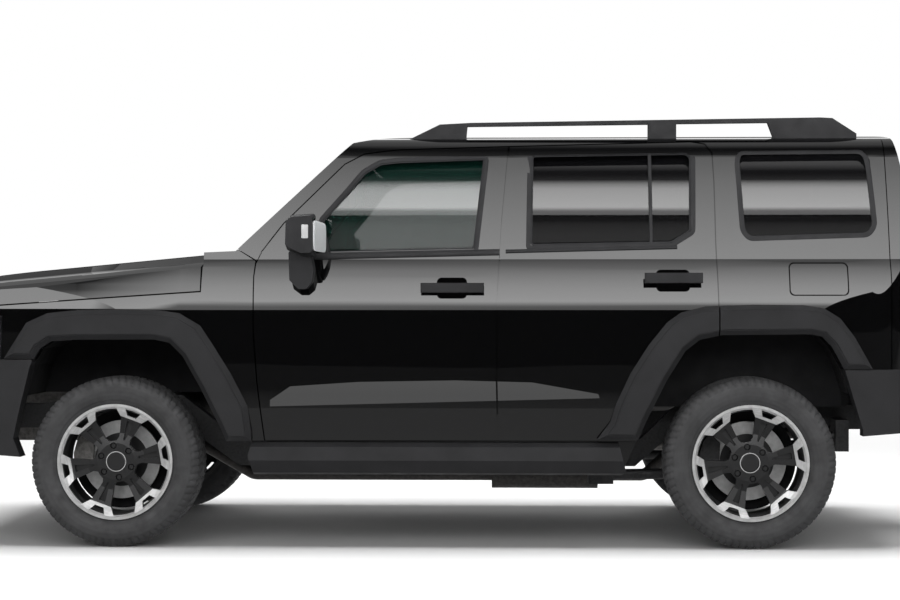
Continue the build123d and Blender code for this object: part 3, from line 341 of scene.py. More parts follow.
def shoulder_paint(name, tilt, front_tilt):
    """Body paint whose reflections lie as on a face leaning further back.

    The bump's height falls with height above the ground, at one slope everywhere and
    at a further one that grows towards the nose, where the panels stand upright.
    """
    paint = gloss_paint(name, tuple(settings("paint").colour))
    nodes = paint.node_tree.nodes
    place = nodes.new("ShaderNodeTexCoord")
    split = nodes.new("ShaderNodeSeparateXYZ")
    nose = nodes.new("ShaderNodeMapRange")
    nose.inputs["From Min"].default_value = -1.20
    nose.inputs["From Max"].default_value = -1.65
    nose.inputs["To Max"].default_value = -front_tilt
    link(paint, (place.outputs["Object"], split.inputs[0]), (split.outputs["X"], nose.inputs["Value"]))
    above = maths(paint, "MAXIMUM", maths(paint, "SUBTRACT", split.outputs["Z"], 1.035), 0.0)
    slope = maths(paint, "SUBTRACT", nose.outputs["Result"], tilt)
    bumped(paint, maths(paint, "MULTIPLY", above, slope), 1.0, 1.0)
    into(paint, "Coat Normal", nodes["Principled BSDF"].inputs["Normal"].links[0].from_socket)
    return paint


def grained_plastic(name, colour, roughness=0.55, grain=0.25):
    """Moulded plastic with a fine leather-like grain and slight wear in its roughness."""
    plastic = shader_material(name, colour, Roughness=roughness, Specular_IOR_Level=0.16)
    light = tuple(min(1, 1.35 * c) for c in colour)
    into(plastic, "Base Color", ramped(plastic, noise(plastic, 7.0, 5.0), colour, light))
    into(plastic, "Roughness", ramped(plastic, noise(plastic, 18.0, 5.0), roughness - 0.07, roughness + 0.08))
    return bumped(plastic, noise(plastic, 700.0, 3.0), grain, 0.0006)


def rubber(name, colour):
    """Tyre rubber: matt, a little dusty and brown where it is worn."""
    tyre = shader_material(name, colour, Roughness=0.72, Specular_IOR_Level=0.35)
    dusty = tuple(1.7 * c for c in colour)
    into(tyre, "Base Color", ramped(tyre, noise(tyre, 9.0, 8.0), colour, dusty))
    into(tyre, "Roughness", ramped(tyre, noise(tyre, 30.0, 6.0), 0.62, 0.85))
    return bumped(tyre, noise(tyre, 420.0, 4.0), 0.2, 0.0006)


def cast_metal(name, colour, roughness=0.5, metallic=1.0, scale=60.0):
    """Cast or painted chassis metal with a mottled colour and a sand-cast bump."""
    metal = shader_material(name, colour, Roughness=roughness, Metallic=metallic)
    dark = tuple(0.6 * c for c in colour)
    into(metal, "Base Color", ramped(metal, noise(metal, scale, 8.0), dark, colour))
    into(metal, "Roughness", ramped(metal, noise(metal, scale * 1.7, 6.0), roughness - 0.12, roughness + 0.15))
    return bumped(metal, noise(metal, scale * 9, 4.0), 0.2, 0.0008)


def tinted_glass(name, colour, alpha, index=1.66):
    """Tinted window glass, see-through by its alpha, with a clear reflection.

    Its curve is a little tighter than the panel's: the bump's height falls with the
    square of the distance from a level near the top of the panes, and faster above it.
    """
    glass = shader_material(name, colour, Roughness=0.0, IOR=index, Alpha=alpha)
    nodes = glass.node_tree.nodes
    place = nodes.new("ShaderNodeTexCoord")
    split = nodes.new("ShaderNodeSeparateXYZ")
    link(glass, (place.outputs["Object"], split.inputs[0]))
    above = maths(glass, "SUBTRACT", split.outputs["Z"], 1.634)
    fall = maths(glass, "MULTIPLY", maths(glass, "MULTIPLY", above, above), -0.85)
    edge = maths(glass, "MAXIMUM", maths(glass, "SUBTRACT", split.outputs["Z"], 1.560), 0.0)
    roll = maths(glass, "MULTIPLY", maths(glass, "MULTIPLY", edge, edge), -2.4)
    return bumped(glass, maths(glass, "ADD", fall, roll), 1.0, 1.0)


def lens_plastic(name, colour, alpha=0.35):
    """Clear or coloured lamp plastic with a faint ripple."""
    lens = shader_material(name, colour, Roughness=0.05, IOR=1.5, Alpha=alpha)
    return bumped(lens, noise(lens, 60.0, 1.0), 0.05, 0.001)


def leather(name, colour):
    """Seat leather with a pebbled grain and a soft sheen."""
    hide = shader_material(name, colour, Roughness=0.5, Sheen_Weight=0.15)
    nodes = hide.node_tree.nodes
    place = nodes.new("ShaderNodeTexCoord")
    cells = nodes.new("ShaderNodeTexVoronoi")
    cells.inputs["Scale"].default_value = 420.0
    link(hide, (place.outputs["Object"], cells.inputs["Vector"]))
    into(hide, "Base Color", ramped(hide, noise(hide, 14.0, 6.0), colour, tuple(1.5 * c for c in colour)))
    return bumped(hide, cells.outputs["Distance"], 0.35, 0.0006)


class MadeMaterials(dict):
    """The vehicle's materials by name, each made when it is first asked for."""

    recipes = {
        "body paint": lambda: gloss_paint("body_paint", tuple(settings("paint").colour)),
        "bonnet paint": lambda: shoulder_paint("bonnet_paint", 0.06, 0.20),
        "wing paint": lambda: shoulder_paint("wing_paint", 0.0, 0.15),
        "trim plastic": lambda: grained_plastic("trim_plastic", tuple(settings("paint").trim_colour)),
        "gloss black": lambda: gloss_paint("gloss_black", (0.006, 0.006, 0.007)),
        "window seal": lambda: grained_plastic("window_seal", (0.008, 0.008, 0.009), 0.5, 0.1),
        "tyre rubber": lambda: rubber("tyre_rubber", (0.023, 0.023, 0.024)),
        "chassis steel": lambda: cast_metal("chassis_steel", (0.010, 0.010, 0.011), 0.6, 0.2),
        # Black plastic made near-black, darker than a real liner: painted shade in the deep arches, under the floor and
        # behind the brake discs.
        "arch liner painted shade": lambda: grained_plastic("arch_liner_painted_shade", (0.004, 0.004, 0.0045), 0.8, 0.3),
        "cast iron": lambda: cast_metal("cast_iron", (0.16, 0.155, 0.15), 0.55),
        "machined alloy": lambda: cast_metal("machined_alloy", (0.72, 0.73, 0.73), 0.3, 1.0, 200.0),
        # Dark steel, darkened further as painted shade for the muffler under the sill.
        "exhaust steel with painted shade": lambda: cast_metal("exhaust_steel", (0.05, 0.047, 0.045), 0.55, 0.6),
        "front glass": lambda: tinted_glass("front_glass", (0.006, 0.030, 0.022), 0.46, 1.9),
        "privacy glass": lambda: tinted_glass("privacy_glass", (0.004, 0.004, 0.0045), 0.90),
        "lens": lambda: lens_plastic("clear_lens", (0.05, 0.05, 0.055)),
        "red lens": lambda: lens_plastic("red_lens", (0.32, 0.006, 0.006), 0.85),
        "cabin plastic": lambda: grained_plastic("cabin_plastic", (0.03, 0.03, 0.031), 0.7, 0.3),
        "seat leather": lambda: leather("seat_leather", (0.035, 0.033, 0.032)),
        # Mirror glass: a pale, mostly matt grey that is a painted reflection of the bright studio, not a mirror.
        "mirror painted reflection": lambda: cast_metal("mirror_painted_reflection", (0.72, 0.74, 0.75), 0.35, 0.2, 2.0),
        "belt webbing": lambda: grained_plastic("belt_webbing", (0.05, 0.05, 0.052), 0.8, 0.3),
        "pale plastic": lambda: grained_plastic("pale_plastic", (0.62, 0.62, 0.62), 0.35, 0.05),
        "mirror silver": lambda: cast_metal("mirror_silver", (0.8, 0.82, 0.84), 0.06, 1.0, 2.0),
    }

    def __missing__(self, key):
        self[key] = self.recipes[key]()
        return self[key]


MATERIALS = MadeMaterials()


def settings(name):
    """One group of the vehicle's settings."""
    return getattr(bpy.context.scene, f"vehicle_{name}")


def maths(material, operation, *values):
    """A maths node fed with numbers or sockets, and its result."""
    node = material.node_tree.nodes.new("ShaderNodeMath")
    node.operation = operation
    for socket, value in zip(node.inputs, values):
        if isinstance(value, (int, float)):
            socket.default_value = value
        else:
            link(material, (value, socket))
    return node.outputs[0]


def between(material, value, low, high):
    """One where a value lies between two others, and zero elsewhere."""
    above = maths(material, "GREATER_THAN", value, low)
    return maths(material, "MULTIPLY", above, maths(material, "LESS_THAN", value, high))


def wheel_paint(name, centre, hand):
    """Black wheel paint, bare metal on the flange ring, the forks' ends, the cap's ring and the disc.

    In the wheel's own plane, the distance along the nearest spoke is the radius times
    the cosine of the angle from it. Past a set distance the outward face is bare where
    it lies on the face's own turned slope, so that pockets stay black.
    """
    paint = shader_material(name, (0.007, 0.007, 0.0075), Roughness=0.36, Specular_IOR_Level=0.35)
    nodes = paint.node_tree.nodes
    shader = nodes["Principled BSDF"]
    place = nodes.new("ShaderNodeTexCoord")
    spot = nodes.new("ShaderNodeSeparateXYZ")
    facing = nodes.new("ShaderNodeSeparateXYZ")
    link(paint, (place.outputs["Object"], spot.inputs[0]), (place.outputs["Normal"], facing.inputs[0]))
    x = maths(paint, "SUBTRACT", spot.outputs["X"], centre[0])
    z = maths(paint, "SUBTRACT", spot.outputs["Z"], centre[2])
    out = maths(paint, "MULTIPLY", maths(paint, "SUBTRACT", spot.outputs["Y"], centre[1]), float(hand))
    radius = maths(paint, "SQRT", maths(paint, "ADD", maths(paint, "MULTIPLY", x, x), maths(paint, "MULTIPLY", z, z)))
    angle = maths(paint, "SUBTRACT", maths(paint, "ARCTAN2", z, x), SPOKE_ANGLE)
    turn = math.radians(60)
    from_spoke = maths(paint, "SUBTRACT", maths(paint, "FLOORED_MODULO", maths(paint, "ADD", angle, turn / 2), turn), turn / 2)
    along = maths(paint, "MULTIPLY", radius, maths(paint, "COSINE", from_spoke))
    past = maths(paint, "GREATER_THAN", along, settings("wheels").machined_from)
    slope = maths(paint, "MULTIPLY_ADD", radius, 0.647, 0.086 - 0.647 * 0.190 - 0.005)
    on_face = maths(paint, "GREATER_THAN", out, maths(paint, "MINIMUM", slope, 0.104))
    outward = maths(paint, "GREATER_THAN", maths(paint, "MULTIPLY", facing.outputs["Y"], float(hand)), 0.6)
    fork = maths(paint, "MULTIPLY", maths(paint, "MULTIPLY", past, on_face), maths(paint, "LESS_THAN", radius, 0.2515))
    ring = maths(paint, "MULTIPLY", between(paint, radius, 0.0405, 0.0440), maths(paint, "GREATER_THAN", out, 0.080))
    bare = maths(paint, "MULTIPLY", maths(paint, "MAXIMUM", fork, ring), outward)
    disc = maths(paint, "MULTIPLY", between(paint, radius, 0.118, 0.1725), between(paint, out, -0.0605, -0.0355))
    shown = maths(paint, "MAXIMUM", bare, disc)
    mix = nodes.new("ShaderNodeMix")
    mix.data_type = "RGBA"
    mix.inputs["A"].default_value = shader.inputs["Base Color"].default_value
    turned_lines = noise(paint, 260.0, 3.0, (0.15, 1, 0.15))
    link(paint, (shown, mix.inputs["Factor"]), (ramped(paint, turned_lines, 0.40, 0.50), mix.inputs["B"]))
    link(paint, (mix.outputs["Result"], shader.inputs["Base Color"]), (maths(paint, "MULTIPLY", shown, 0.35), shader.inputs["Metallic"]))
    return bumped(paint, noise(paint, 500.0, 3.0), 0.08, 0.0004)


# Settings


class VehiclePaintSettings(bpy.types.PropertyGroup):
    """Colours of the painted body and its plastic trim."""

    colour: bpy.props.FloatVectorProperty(
        name="Body colour", description="Colour of the body paint", subtype="COLOR", size=3,
        min=0, max=1, default=(0.0016, 0.0016, 0.0018),
    )
    trim_colour: bpy.props.FloatVectorProperty(
        name="Trim colour", description="Colour of flares, mirrors and steps", subtype="COLOR",
        size=3, min=0, max=1, default=(0.013, 0.013, 0.014),
    )


class VehicleWheelSettings(bpy.types.PropertyGroup):
    """Sizes of the tyres' tread and of the wheels' finish."""

    tread_depth: bpy.props.FloatProperty(
        name="Tread depth", description="Depth of the grooves", default=0.008, unit="LENGTH",
    )
    tread_blocks: bpy.props.IntProperty(
        name="Tread blocks", description="Blocks round one tyre", default=72, min=24, max=120,
    )
    machined_from: bpy.props.FloatProperty(
        name="Machined from", description="Distance along a spoke where bare metal starts",
        default=0.194, unit="LENGTH",
    )


class VehicleStudioSettings(bpy.types.PropertyGroup):
    """Strengths of the studio's lights and the camera's place."""

    side_light: bpy.props.FloatProperty(
        name="Side light", description="Power of each side light", default=620.0, unit="POWER",
    )
    top_light: bpy.props.FloatProperty(
        name="Top light", description="Power of the light overhead", default=950.0, unit="POWER",
    )
    camera_place: bpy.props.FloatVectorProperty(
        name="Camera place", description="Where the camera stands", size=3,
        default=(0.2416, -9.4258, 1.0657), subtype="TRANSLATION", unit="LENGTH",
    )


# Operators


class VEHICLE_OT_studio(bpy.types.Operator):
    """Set up the camera, the pale floor, the backdrop and the soft lights"""

    bl_idname = "vehicle.studio"
    bl_label = "Studio"

    def execute(self, context):
        scene = context.scene
        scene.view_settings.view_transform = "Standard"
        camera_data = bpy.data.cameras.new("camera")
        camera_data.lens = 78.84
        camera_data.clip_end = 200
        camera = bpy.data.objects.new("camera", camera_data)
        camera.location = settings("studio").camera_place
        camera.rotation_euler = (math.radians(90.05), 0, 0.0312)
        scene.collection.objects.link(camera)
        scene.camera = camera

        reach = 60.0
        corners = np.array([(-1, -1, 0), (1, -1, 0), (1, 1, 0), (-1, 1, 0)]) * reach
        floor_mesh = bpy.data.meshes.new("floor")
        floor_mesh.from_pydata(corners.tolist(), [], [[0, 1, 2, 3]])
        floor = bpy.data.objects.new("floor", floor_mesh)
        scene.collection.objects.link(floor)
        floor_mesh.materials.append(self.floor_material())

        studio = settings("studio")
        self.area("left light", (0, -12.0, 6.6), (math.radians(78), 0, 0), (18, 8.6), studio.side_light)
        self.area("right light", (0, 12.0, 6.6), (math.radians(-78), 0, 0), (18, 8.6), studio.side_light)
        self.area("top light", (0, 0, 7.5), (0, 0, 0), (10, 5), studio.top_light)
        self.reflector("left reflector", -4.2, 1.42, 6.2, 6.6)
        self.reflector("right reflector", 4.2, 3.2, 6.2, 3.0)
        self.world(scene)
        return {"FINISHED"}

    def area(self, name, place, turn, size, power):
        """A soft rectangular light that the camera itself doesn't see."""
        data = bpy.data.lights.new(name, "AREA")
        data.shape = "RECTANGLE"
        data.size, data.size_y = size
        data.energy = power
        light = bpy.data.objects.new(name, data)
        light.location = place
        light.rotation_euler = turn
        light.visible_camera = False
        light.visible_transmission = False
        light.visible_glossy = False
        bpy.context.scene.collection.objects.link(light)

    def reflector(self, name, y, low, high, strength):
        """A tall glowing screen that only gloss shows, brightest along its lower edge."""
        reach = 9.0
        corners = [(-reach, y, low), (reach, y, low), (reach, y, high), (-reach, y, high)]
        mesh = bpy.data.meshes.new(name)
        mesh.from_pydata(corners, [], [[0, 1, 2, 3]])
        screen = bpy.data.objects.new(name, mesh)
        bpy.context.scene.collection.objects.link(screen)
        for ray in ("camera", "diffuse", "transmission", "volume_scatter", "shadow"):
            setattr(screen, f"visible_{ray}", False)
        material = shader_material(name, (0, 0, 0), Roughness=1.0, Specular_IOR_Level=0.0)
        nodes = material.node_tree.nodes
        place = nodes.new("ShaderNodeTexCoord")
        split = nodes.new("ShaderNodeSeparateXYZ")
        ramp = nodes.new("ShaderNodeValToRGB")
        height = nodes.new("ShaderNodeMapRange")
        height.inputs["From Min"].default_value = low
        height.inputs["From Max"].default_value = high
        stops = ((0.0, 0.25), (0.05, 0.32), (0.10, 1.0), (0.3, 0.85), (0.62, 0.50), (0.86, 0.20), (1.0, 0.08))
        for position, level in stops[1:-1]:
            ramp.color_ramp.elements.new(position).color = (level, level, level, 1)
        for element, level in ((ramp.color_ramp.elements[0], stops[0][1]), (ramp.color_ramp.elements[-1], stops[-1][1])):
            element.color = (level, level, level, 1)
        link(
            material,
            (place.outputs["Object"], split.inputs[0]),
            (split.outputs["Z"], height.inputs["Value"]),
            (height.outputs["Result"], ramp.inputs["Fac"]),
        )
        into(material, "Emission Color", ramp.outputs["Color"])
        nodes["Principled BSDF"].inputs["Emission Strength"].default_value = strength
        mesh.materials.append(material)

    def floor_material(self):
        """A white floor that keeps the vehicle's shadow and runs into the white behind it.

        Seen in gloss it is grey and darkens away from the vehicle.
        """
        material = shader_material("studio_floor", (0.86, 0.86, 0.86), Roughness=0.9, Specular_IOR_Level=0.0)
        nodes = material.node_tree.nodes
        path = nodes.new("ShaderNodeLightPath")
        place = nodes.new("ShaderNodeTexCoord")
        split = nodes.new("ShaderNodeSeparateXYZ")
        away = nodes.new("ShaderNodeMath")
        away.operation = "ABSOLUTE"
        far = nodes.new("ShaderNodeMath")
        far.operation = "DIVIDE"
        far.inputs[1].default_value = 30.0
        dark = nodes.new("ShaderNodeEmission")
        link(
            material,
            (place.outputs["Object"], split.inputs[0]),
            (split.outputs["Y"], away.inputs[0]),
            (away.outputs[0], far.inputs[0]),
            (ramped(material, far.outputs[0], 0.55, 0.10, 0.05, 0.5), dark.inputs["Color"]),
        )
        mix = nodes.new("ShaderNodeMixShader")
        output = nodes["Material Output"]
        shader = nodes["Principled BSDF"]
        link(
            material,
            (path.outputs["Is Glossy Ray"], mix.inputs["Fac"]),
            (shader.outputs[0], mix.inputs[1]),
            (dark.outputs[0], mix.inputs[2]),
        )
        away_from_car = nodes.new("ShaderNodeVectorMath")
        away_from_car.operation = "LENGTH"
        fade = nodes.new("ShaderNodeMapRange")
        fade.inputs["From Min"].default_value = 4.0
        fade.inputs["From Max"].default_value = 7.5
        white = nodes.new("ShaderNodeEmission")
        last = nodes.new("ShaderNodeMixShader")
        link(
            material,
            (place.outputs["Object"], away_from_car.inputs[0]),
            (away_from_car.outputs["Value"], fade.inputs["Value"]),
            (maths(material, "MULTIPLY", fade.outputs["Result"], path.outputs["Is Camera Ray"]), last.inputs["Fac"]),
            (mix.outputs[0], last.inputs[1]),
            (white.outputs[0], last.inputs[2]),
            (last.outputs[0], output.inputs["Surface"]),
        )
        return material

    def sky_ramp(self, nodes, stops):
        """Half the sky's brightness against the height of a direction."""
        ramp = nodes.new("ShaderNodeValToRGB")
        for _ in stops[2:]:
            ramp.color_ramp.elements.new(0.5)
        for element, (height, level) in zip(ramp.color_ramp.elements, stops):
            element.position = height
            element.color = (level / 2, level / 2, level / 2, 1)
        return ramp

    def world(self, scene):
        """White behind the vehicle; in gloss a pale sky above a dark horizon."""
        world = bpy.data.worlds.new("studio")
        world.use_nodes = True
        scene.world = world
        nodes, links = world.node_tree.nodes, world.node_tree.links
        nodes.clear()
        output = nodes.new("ShaderNodeOutputWorld")
        path = nodes.new("ShaderNodeLightPath")
        plain = nodes.new("ShaderNodeBackground")
        plain.inputs["Color"].default_value = (1, 1, 1, 1)
        plain.inputs["Strength"].default_value = 1.0
        soft = nodes.new("ShaderNodeBackground")
        soft.inputs["Color"].default_value = (1, 1, 1, 1)
        soft.inputs["Strength"].default_value = 0.2
        place = nodes.new("ShaderNodeTexCoord")
        split = nodes.new("ShaderNodeSeparateXYZ")
        links.new(place.outputs["Generated"], split.inputs[0])
        near_side = self.sky_ramp(nodes, ((0.0, 0.03), (0.088, 0.03), (0.105, 1.7), (0.5, 1.6), (0.80, 0.30), (0.95, 0.06)))
        far_side = self.sky_ramp(nodes, ((0.0, 0.03), (0.09, 0.03), (0.11, 0.15), (0.36, 0.2), (0.6, 0.6)))
        side = nodes.new("ShaderNodeMapRange")
        side.inputs["From Min"].default_value = -0.15
        side.inputs["From Max"].default_value = 0.15
        both = nodes.new("ShaderNodeMix")
        both.data_type = "RGBA"
        links.new(split.outputs["Z"], near_side.inputs["Fac"])
        links.new(split.outputs["Z"], far_side.inputs["Fac"])
        links.new(split.outputs["Y"], side.inputs["Value"])
        links.new(side.outputs["Result"], both.inputs["Factor"])
        links.new(near_side.outputs["Color"], both.inputs["A"])
        links.new(far_side.outputs["Color"], both.inputs["B"])
        sky = nodes.new("ShaderNodeBackground")
        sky.inputs["Strength"].default_value = 2.0
        links.new(both.outputs["Result"], sky.inputs["Color"])
        first = nodes.new("ShaderNodeMixShader")
        second = nodes.new("ShaderNodeMixShader")
        seen = nodes.new("ShaderNodeMath")
        seen.operation = "MAXIMUM"
        links.new(path.outputs["Is Camera Ray"], seen.inputs[0])
        links.new(path.outputs["Is Transmission Ray"], seen.inputs[1])
        links.new(path.outputs["Is Glossy Ray"], first.inputs["Fac"])
        links.new(soft.outputs[0], first.inputs[1])
        links.new(sky.outputs[0], first.inputs[2])
        links.new(seen.outputs[0], second.inputs["Fac"])
        links.new(first.outputs[0], second.inputs[1])
        links.new(plain.outputs[0], second.inputs[2])
        links.new(second.outputs[0], output.inputs["Surface"])


NODE_MATERIALS = {
    "body paint": (
        "roof", "fuel_flap", "tailgate", "rear_corner_panels", "left_body_side",
        "right_body_side", "left_front_door", "right_front_door", "left_rear_door",
        "right_rear_door",
    ),
    "bonnet paint": ("bonnet",),
    "wing paint": ("left_front_wing", "right_front_wing"),
    "trim plastic": (
        "arch_flares", "left_rear_door_trim", "right_rear_door_trim", "left_front_door_handle",
        "right_front_door_handle", "left_door_mirror", "right_door_mirror", "side_steps",
        "roof_rails", "front_bumper", "rear_bumper", "grille", "cowl", "spare_wheel",
    ),
    # The near-black liner is partly painted shade in the wheel arches and under the floor.
    "arch liner painted shade": ("wheel_housings", "floor_pan"),
    "chassis steel": ("ladder_frame", "front_suspension", "rear_axle", "fuel_tank"),
    "cast iron": ("drivetrain", "left_knuckle", "right_knuckle"),
    # The exhaust's dark steel is partly painted shade under the sill.
    "exhaust steel with painted shade": ("exhaust",),
    "front glass": ("left_front_door_glass", "right_front_door_glass"),
    "privacy glass": (
        "left_rear_door_glass", "right_rear_door_glass", "tailgate_glass", "fixed_windows",
    ),
    "cabin plastic": ("dashboard", "steering_wheel"),
    "seat leather": ("seats",),
    "lens": ("headlamps",),
    "red lens": ("tail_lamps",),
}


class VEHICLE_OT_node_finishes(bpy.types.Operator):
    """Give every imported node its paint, plastic, glass or metal"""

    bl_idname = "vehicle.node_finishes"
    bl_label = "Panels and chassis"

    def execute(self, context):
        done = set()
        for finish, names in NODE_MATERIALS.items():
            for name in names:
                NODES[name].data.materials.clear()
                NODES[name].data.materials.append(MATERIALS[finish])
                done.add(name)
        for side, hand in SIDES:
            for axle, axle_x in AXLES:
                name = f"{side}_{axle}_rim"
                centre = (axle_x, hand * HALF_TRACK, AXLE_Z)
                NODES[name].data.materials.clear()
                NODES[name].data.materials.append(wheel_paint(name + "_paint", centre, hand))
                done.update((name, f"{side}_{axle}_tyre"))
        left = set(NODES) - done
        if left:
            raise RuntimeError(f"no finish for {sorted(left)}")
        return {"FINISHED"}


class VEHICLE_OT_tyres(bpy.types.Operator):
    """Make the four tyres with their tread, shoulders and sidewall ribs"""

    bl_idname = "vehicle.tyres"
    bl_label = "Tyres"

    def execute(self, context):
        for side, hand in SIDES:
            for axle, axle_x in AXLES:
                points = self.carcass((axle_x, hand * HALF_TRACK, AXLE_Z), hand)
                name = f"{side}_{axle}_tread_tyre"
                body = f"{side}_{axle}_wheel"
                piece = put_grid(name, points, body, MATERIALS["tyre rubber"], wrap_rows=True)
                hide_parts(f"{side}_{axle}_tyre")
        return {"FINISHED"}

    def carcass(self, centre, hand):
        """Points round a tyre.

        The section runs from bead to bead over the crown. Round grooves, cross grooves
        and shoulder notches lower the radius where their wave passes a threshold, and
        thin ribs raise the sidewall.
        """
        profile = np.array(
            [
                (-0.100, 0.2435), (-0.106, 0.2450), (-0.109, 0.2600), (-0.1105, 0.2660), (-0.116, 0.2700),
                (-0.1235, 0.2900), (-0.1265, 0.3100), (-0.1245, 0.3300), (-0.1190, 0.3460), (-0.1100, 0.3590),
                (-0.1010, 0.3655), (-0.0900, 0.3685), (-0.0450, 0.3698), (0.0, 0.3700),
            ]
        )
        profile = np.concatenate([profile, profile[-2::-1] * [-1, 1]])
        run = np.r_[0, np.cumsum(np.hypot(*np.diff(profile, axis=0).T))]
        stations = np.linspace(0, run[-1], 118)
        along = np.interp(stations, run, profile[:, 0])
        radius = np.interp(stations, run, profile[:, 1])
        wheel = settings("wheels")
        count = wheel.tread_blocks * 6
        angle = np.linspace(0, 2 * np.pi, count, endpoint=False)[:, None]
        step = angle * wheel.tread_blocks / (2 * np.pi)
        side_of = np.abs(along)[None, :]
        crown = side_of < 0.104
        rounds = (np.abs(side_of - 0.030) < 0.0045) | (np.abs(side_of - 0.068) < 0.005)
        slant = step + 6.0 * along[None, :]
        cross = ((slant + np.where(side_of < 0.030, 0.5, 0.0)) % 1.0) < 0.22
        cross &= ~((side_of < 0.030) & (np.floor(slant) % 2 == 0))
        shoulder = (radius[None, :] > 0.340) & (side_of >= 0.104)
        notch = shoulder & (((slant + 0.11) % 1.0) < 0.30)
        depth = np.where(crown & (rounds | cross), wheel.tread_depth, 0.0)
        depth = np.where(notch, 0.0035, depth)
        wall = radius[None, :] < 0.338
        rib = 0.0012 * np.exp(-(((radius[None, :] - 0.327) / 0.0016) ** 2))
        rib = rib + 0.0010 * np.exp(-(((radius[None, :] - 0.290) / 0.0016) ** 2))
        out = np.where(wall, rib, 0.0) + 0 * angle
        along_out = along[None, :] + np.sign(along)[None, :] * out
        shrink = np.where(notch, 0.0030, 0.0)
        along_out = along_out - np.sign(along)[None, :] * shrink
        reach = radius[None, :] - depth
        return np.stack(
            [
                centre[0] + reach * np.cos(angle),
                centre[1] + hand * along_out,
                centre[2] + reach * np.sin(angle),
            ],
            axis=-1,
        )


FRONT_WINDOW = (
    (-0.605, 1.424), (-0.490, 1.558), (-0.417, 1.648), (-0.339, 1.693), (-0.251, 1.702),
    (0.133, 1.715), (0.142, 1.692), (0.096, 1.276), (-0.570, 1.262),
)
REAR_WINDOW = (
    (0.312, 1.729), (0.304, 1.290), (0.941, 1.301), (1.040, 1.362), (1.049, 1.706), (1.017, 1.739),
)
QUARTER_WINDOW = (
    (1.232, 1.733), (1.797, 1.737), (1.812, 1.656), (1.827, 1.391), (1.791, 1.344),
    (1.268, 1.328), (1.233, 1.369), (1.219, 1.680),
)


class VEHICLE_OT_window_trim(bpy.types.Operator):
    """Frame the side windows and lay the belt mouldings and division bars"""

    bl_idname = "vehicle.window_trim"
    bl_label = "Window trim"

    def execute(self, context):
        seal, trim = MATERIALS["window seal"], MATERIALS["trim plastic"]
        for side, hand in SIDES:
            front, rear = f"{side}_front_door", f"{side}_rear_door"
            frames = (
                (f"{front}_window_trim", FRONT_WINDOW, 0.018, 0.020, front, trim, 0.0025),
                (f"{rear}_window_trim", REAR_WINDOW, 0.020, 0.022, rear, trim, 0.0025),
                (f"{side}_quarter_window_trim", QUARTER_WINDOW, 0.022, 0.060, "body", trim, 0.0025),
                (f"{front}_window_seal", inset(FRONT_WINDOW, 0.017), 0.008, 0.018, front, seal, 0.0005),
                (f"{rear}_window_seal", inset(REAR_WINDOW, 0.019), 0.008, 0.018, rear, seal, 0.0005),
            )
            for name, outline, width, radius, body, material, proud in frames:
                rings = window_frame(outline, width, radius, hand, proud, 0.010)
                piece = put_grid(name, rings, body, material, True, True)
                bevelled(piece, 0.001)
            for name, start, end, body, height in (
                (f"{front}_belt_moulding", (-0.632, 1.262), (0.190, 1.281), front, 0.030),
                (f"{rear}_belt_moulding", (0.216, 1.284), (0.960, 1.302), rear, 0.018),
            ):
                strip = moulding(start, end, hand, height)
                put_grid(name, strip, body, trim)
            bar = self.division_bar(hand)
            put_grid(f"{rear}_division_bar", bar, rear, trim, wrap_columns=True, caps=True)
        return {"FINISHED"}

    def division_bar(self, hand):
        """A slim upright in the rear door's window: a rounded oblong section up the glass."""
        z = np.linspace(1.300, 1.722, 24)[:, None]
        angle = np.linspace(0, 2 * np.pi, 16, endpoint=False)[None, :]
        x = 0.848 + 0.0075 * np.sign(np.cos(angle)) * np.abs(np.cos(angle)) ** 0.5
        lift = 0.006 * np.sign(np.sin(angle)) * np.abs(np.sin(angle)) ** 0.5 - 0.004
        y = hand * (skin(z) + lift)
        return np.stack([x + 0 * z, y, z + 0 * angle], axis=-1)


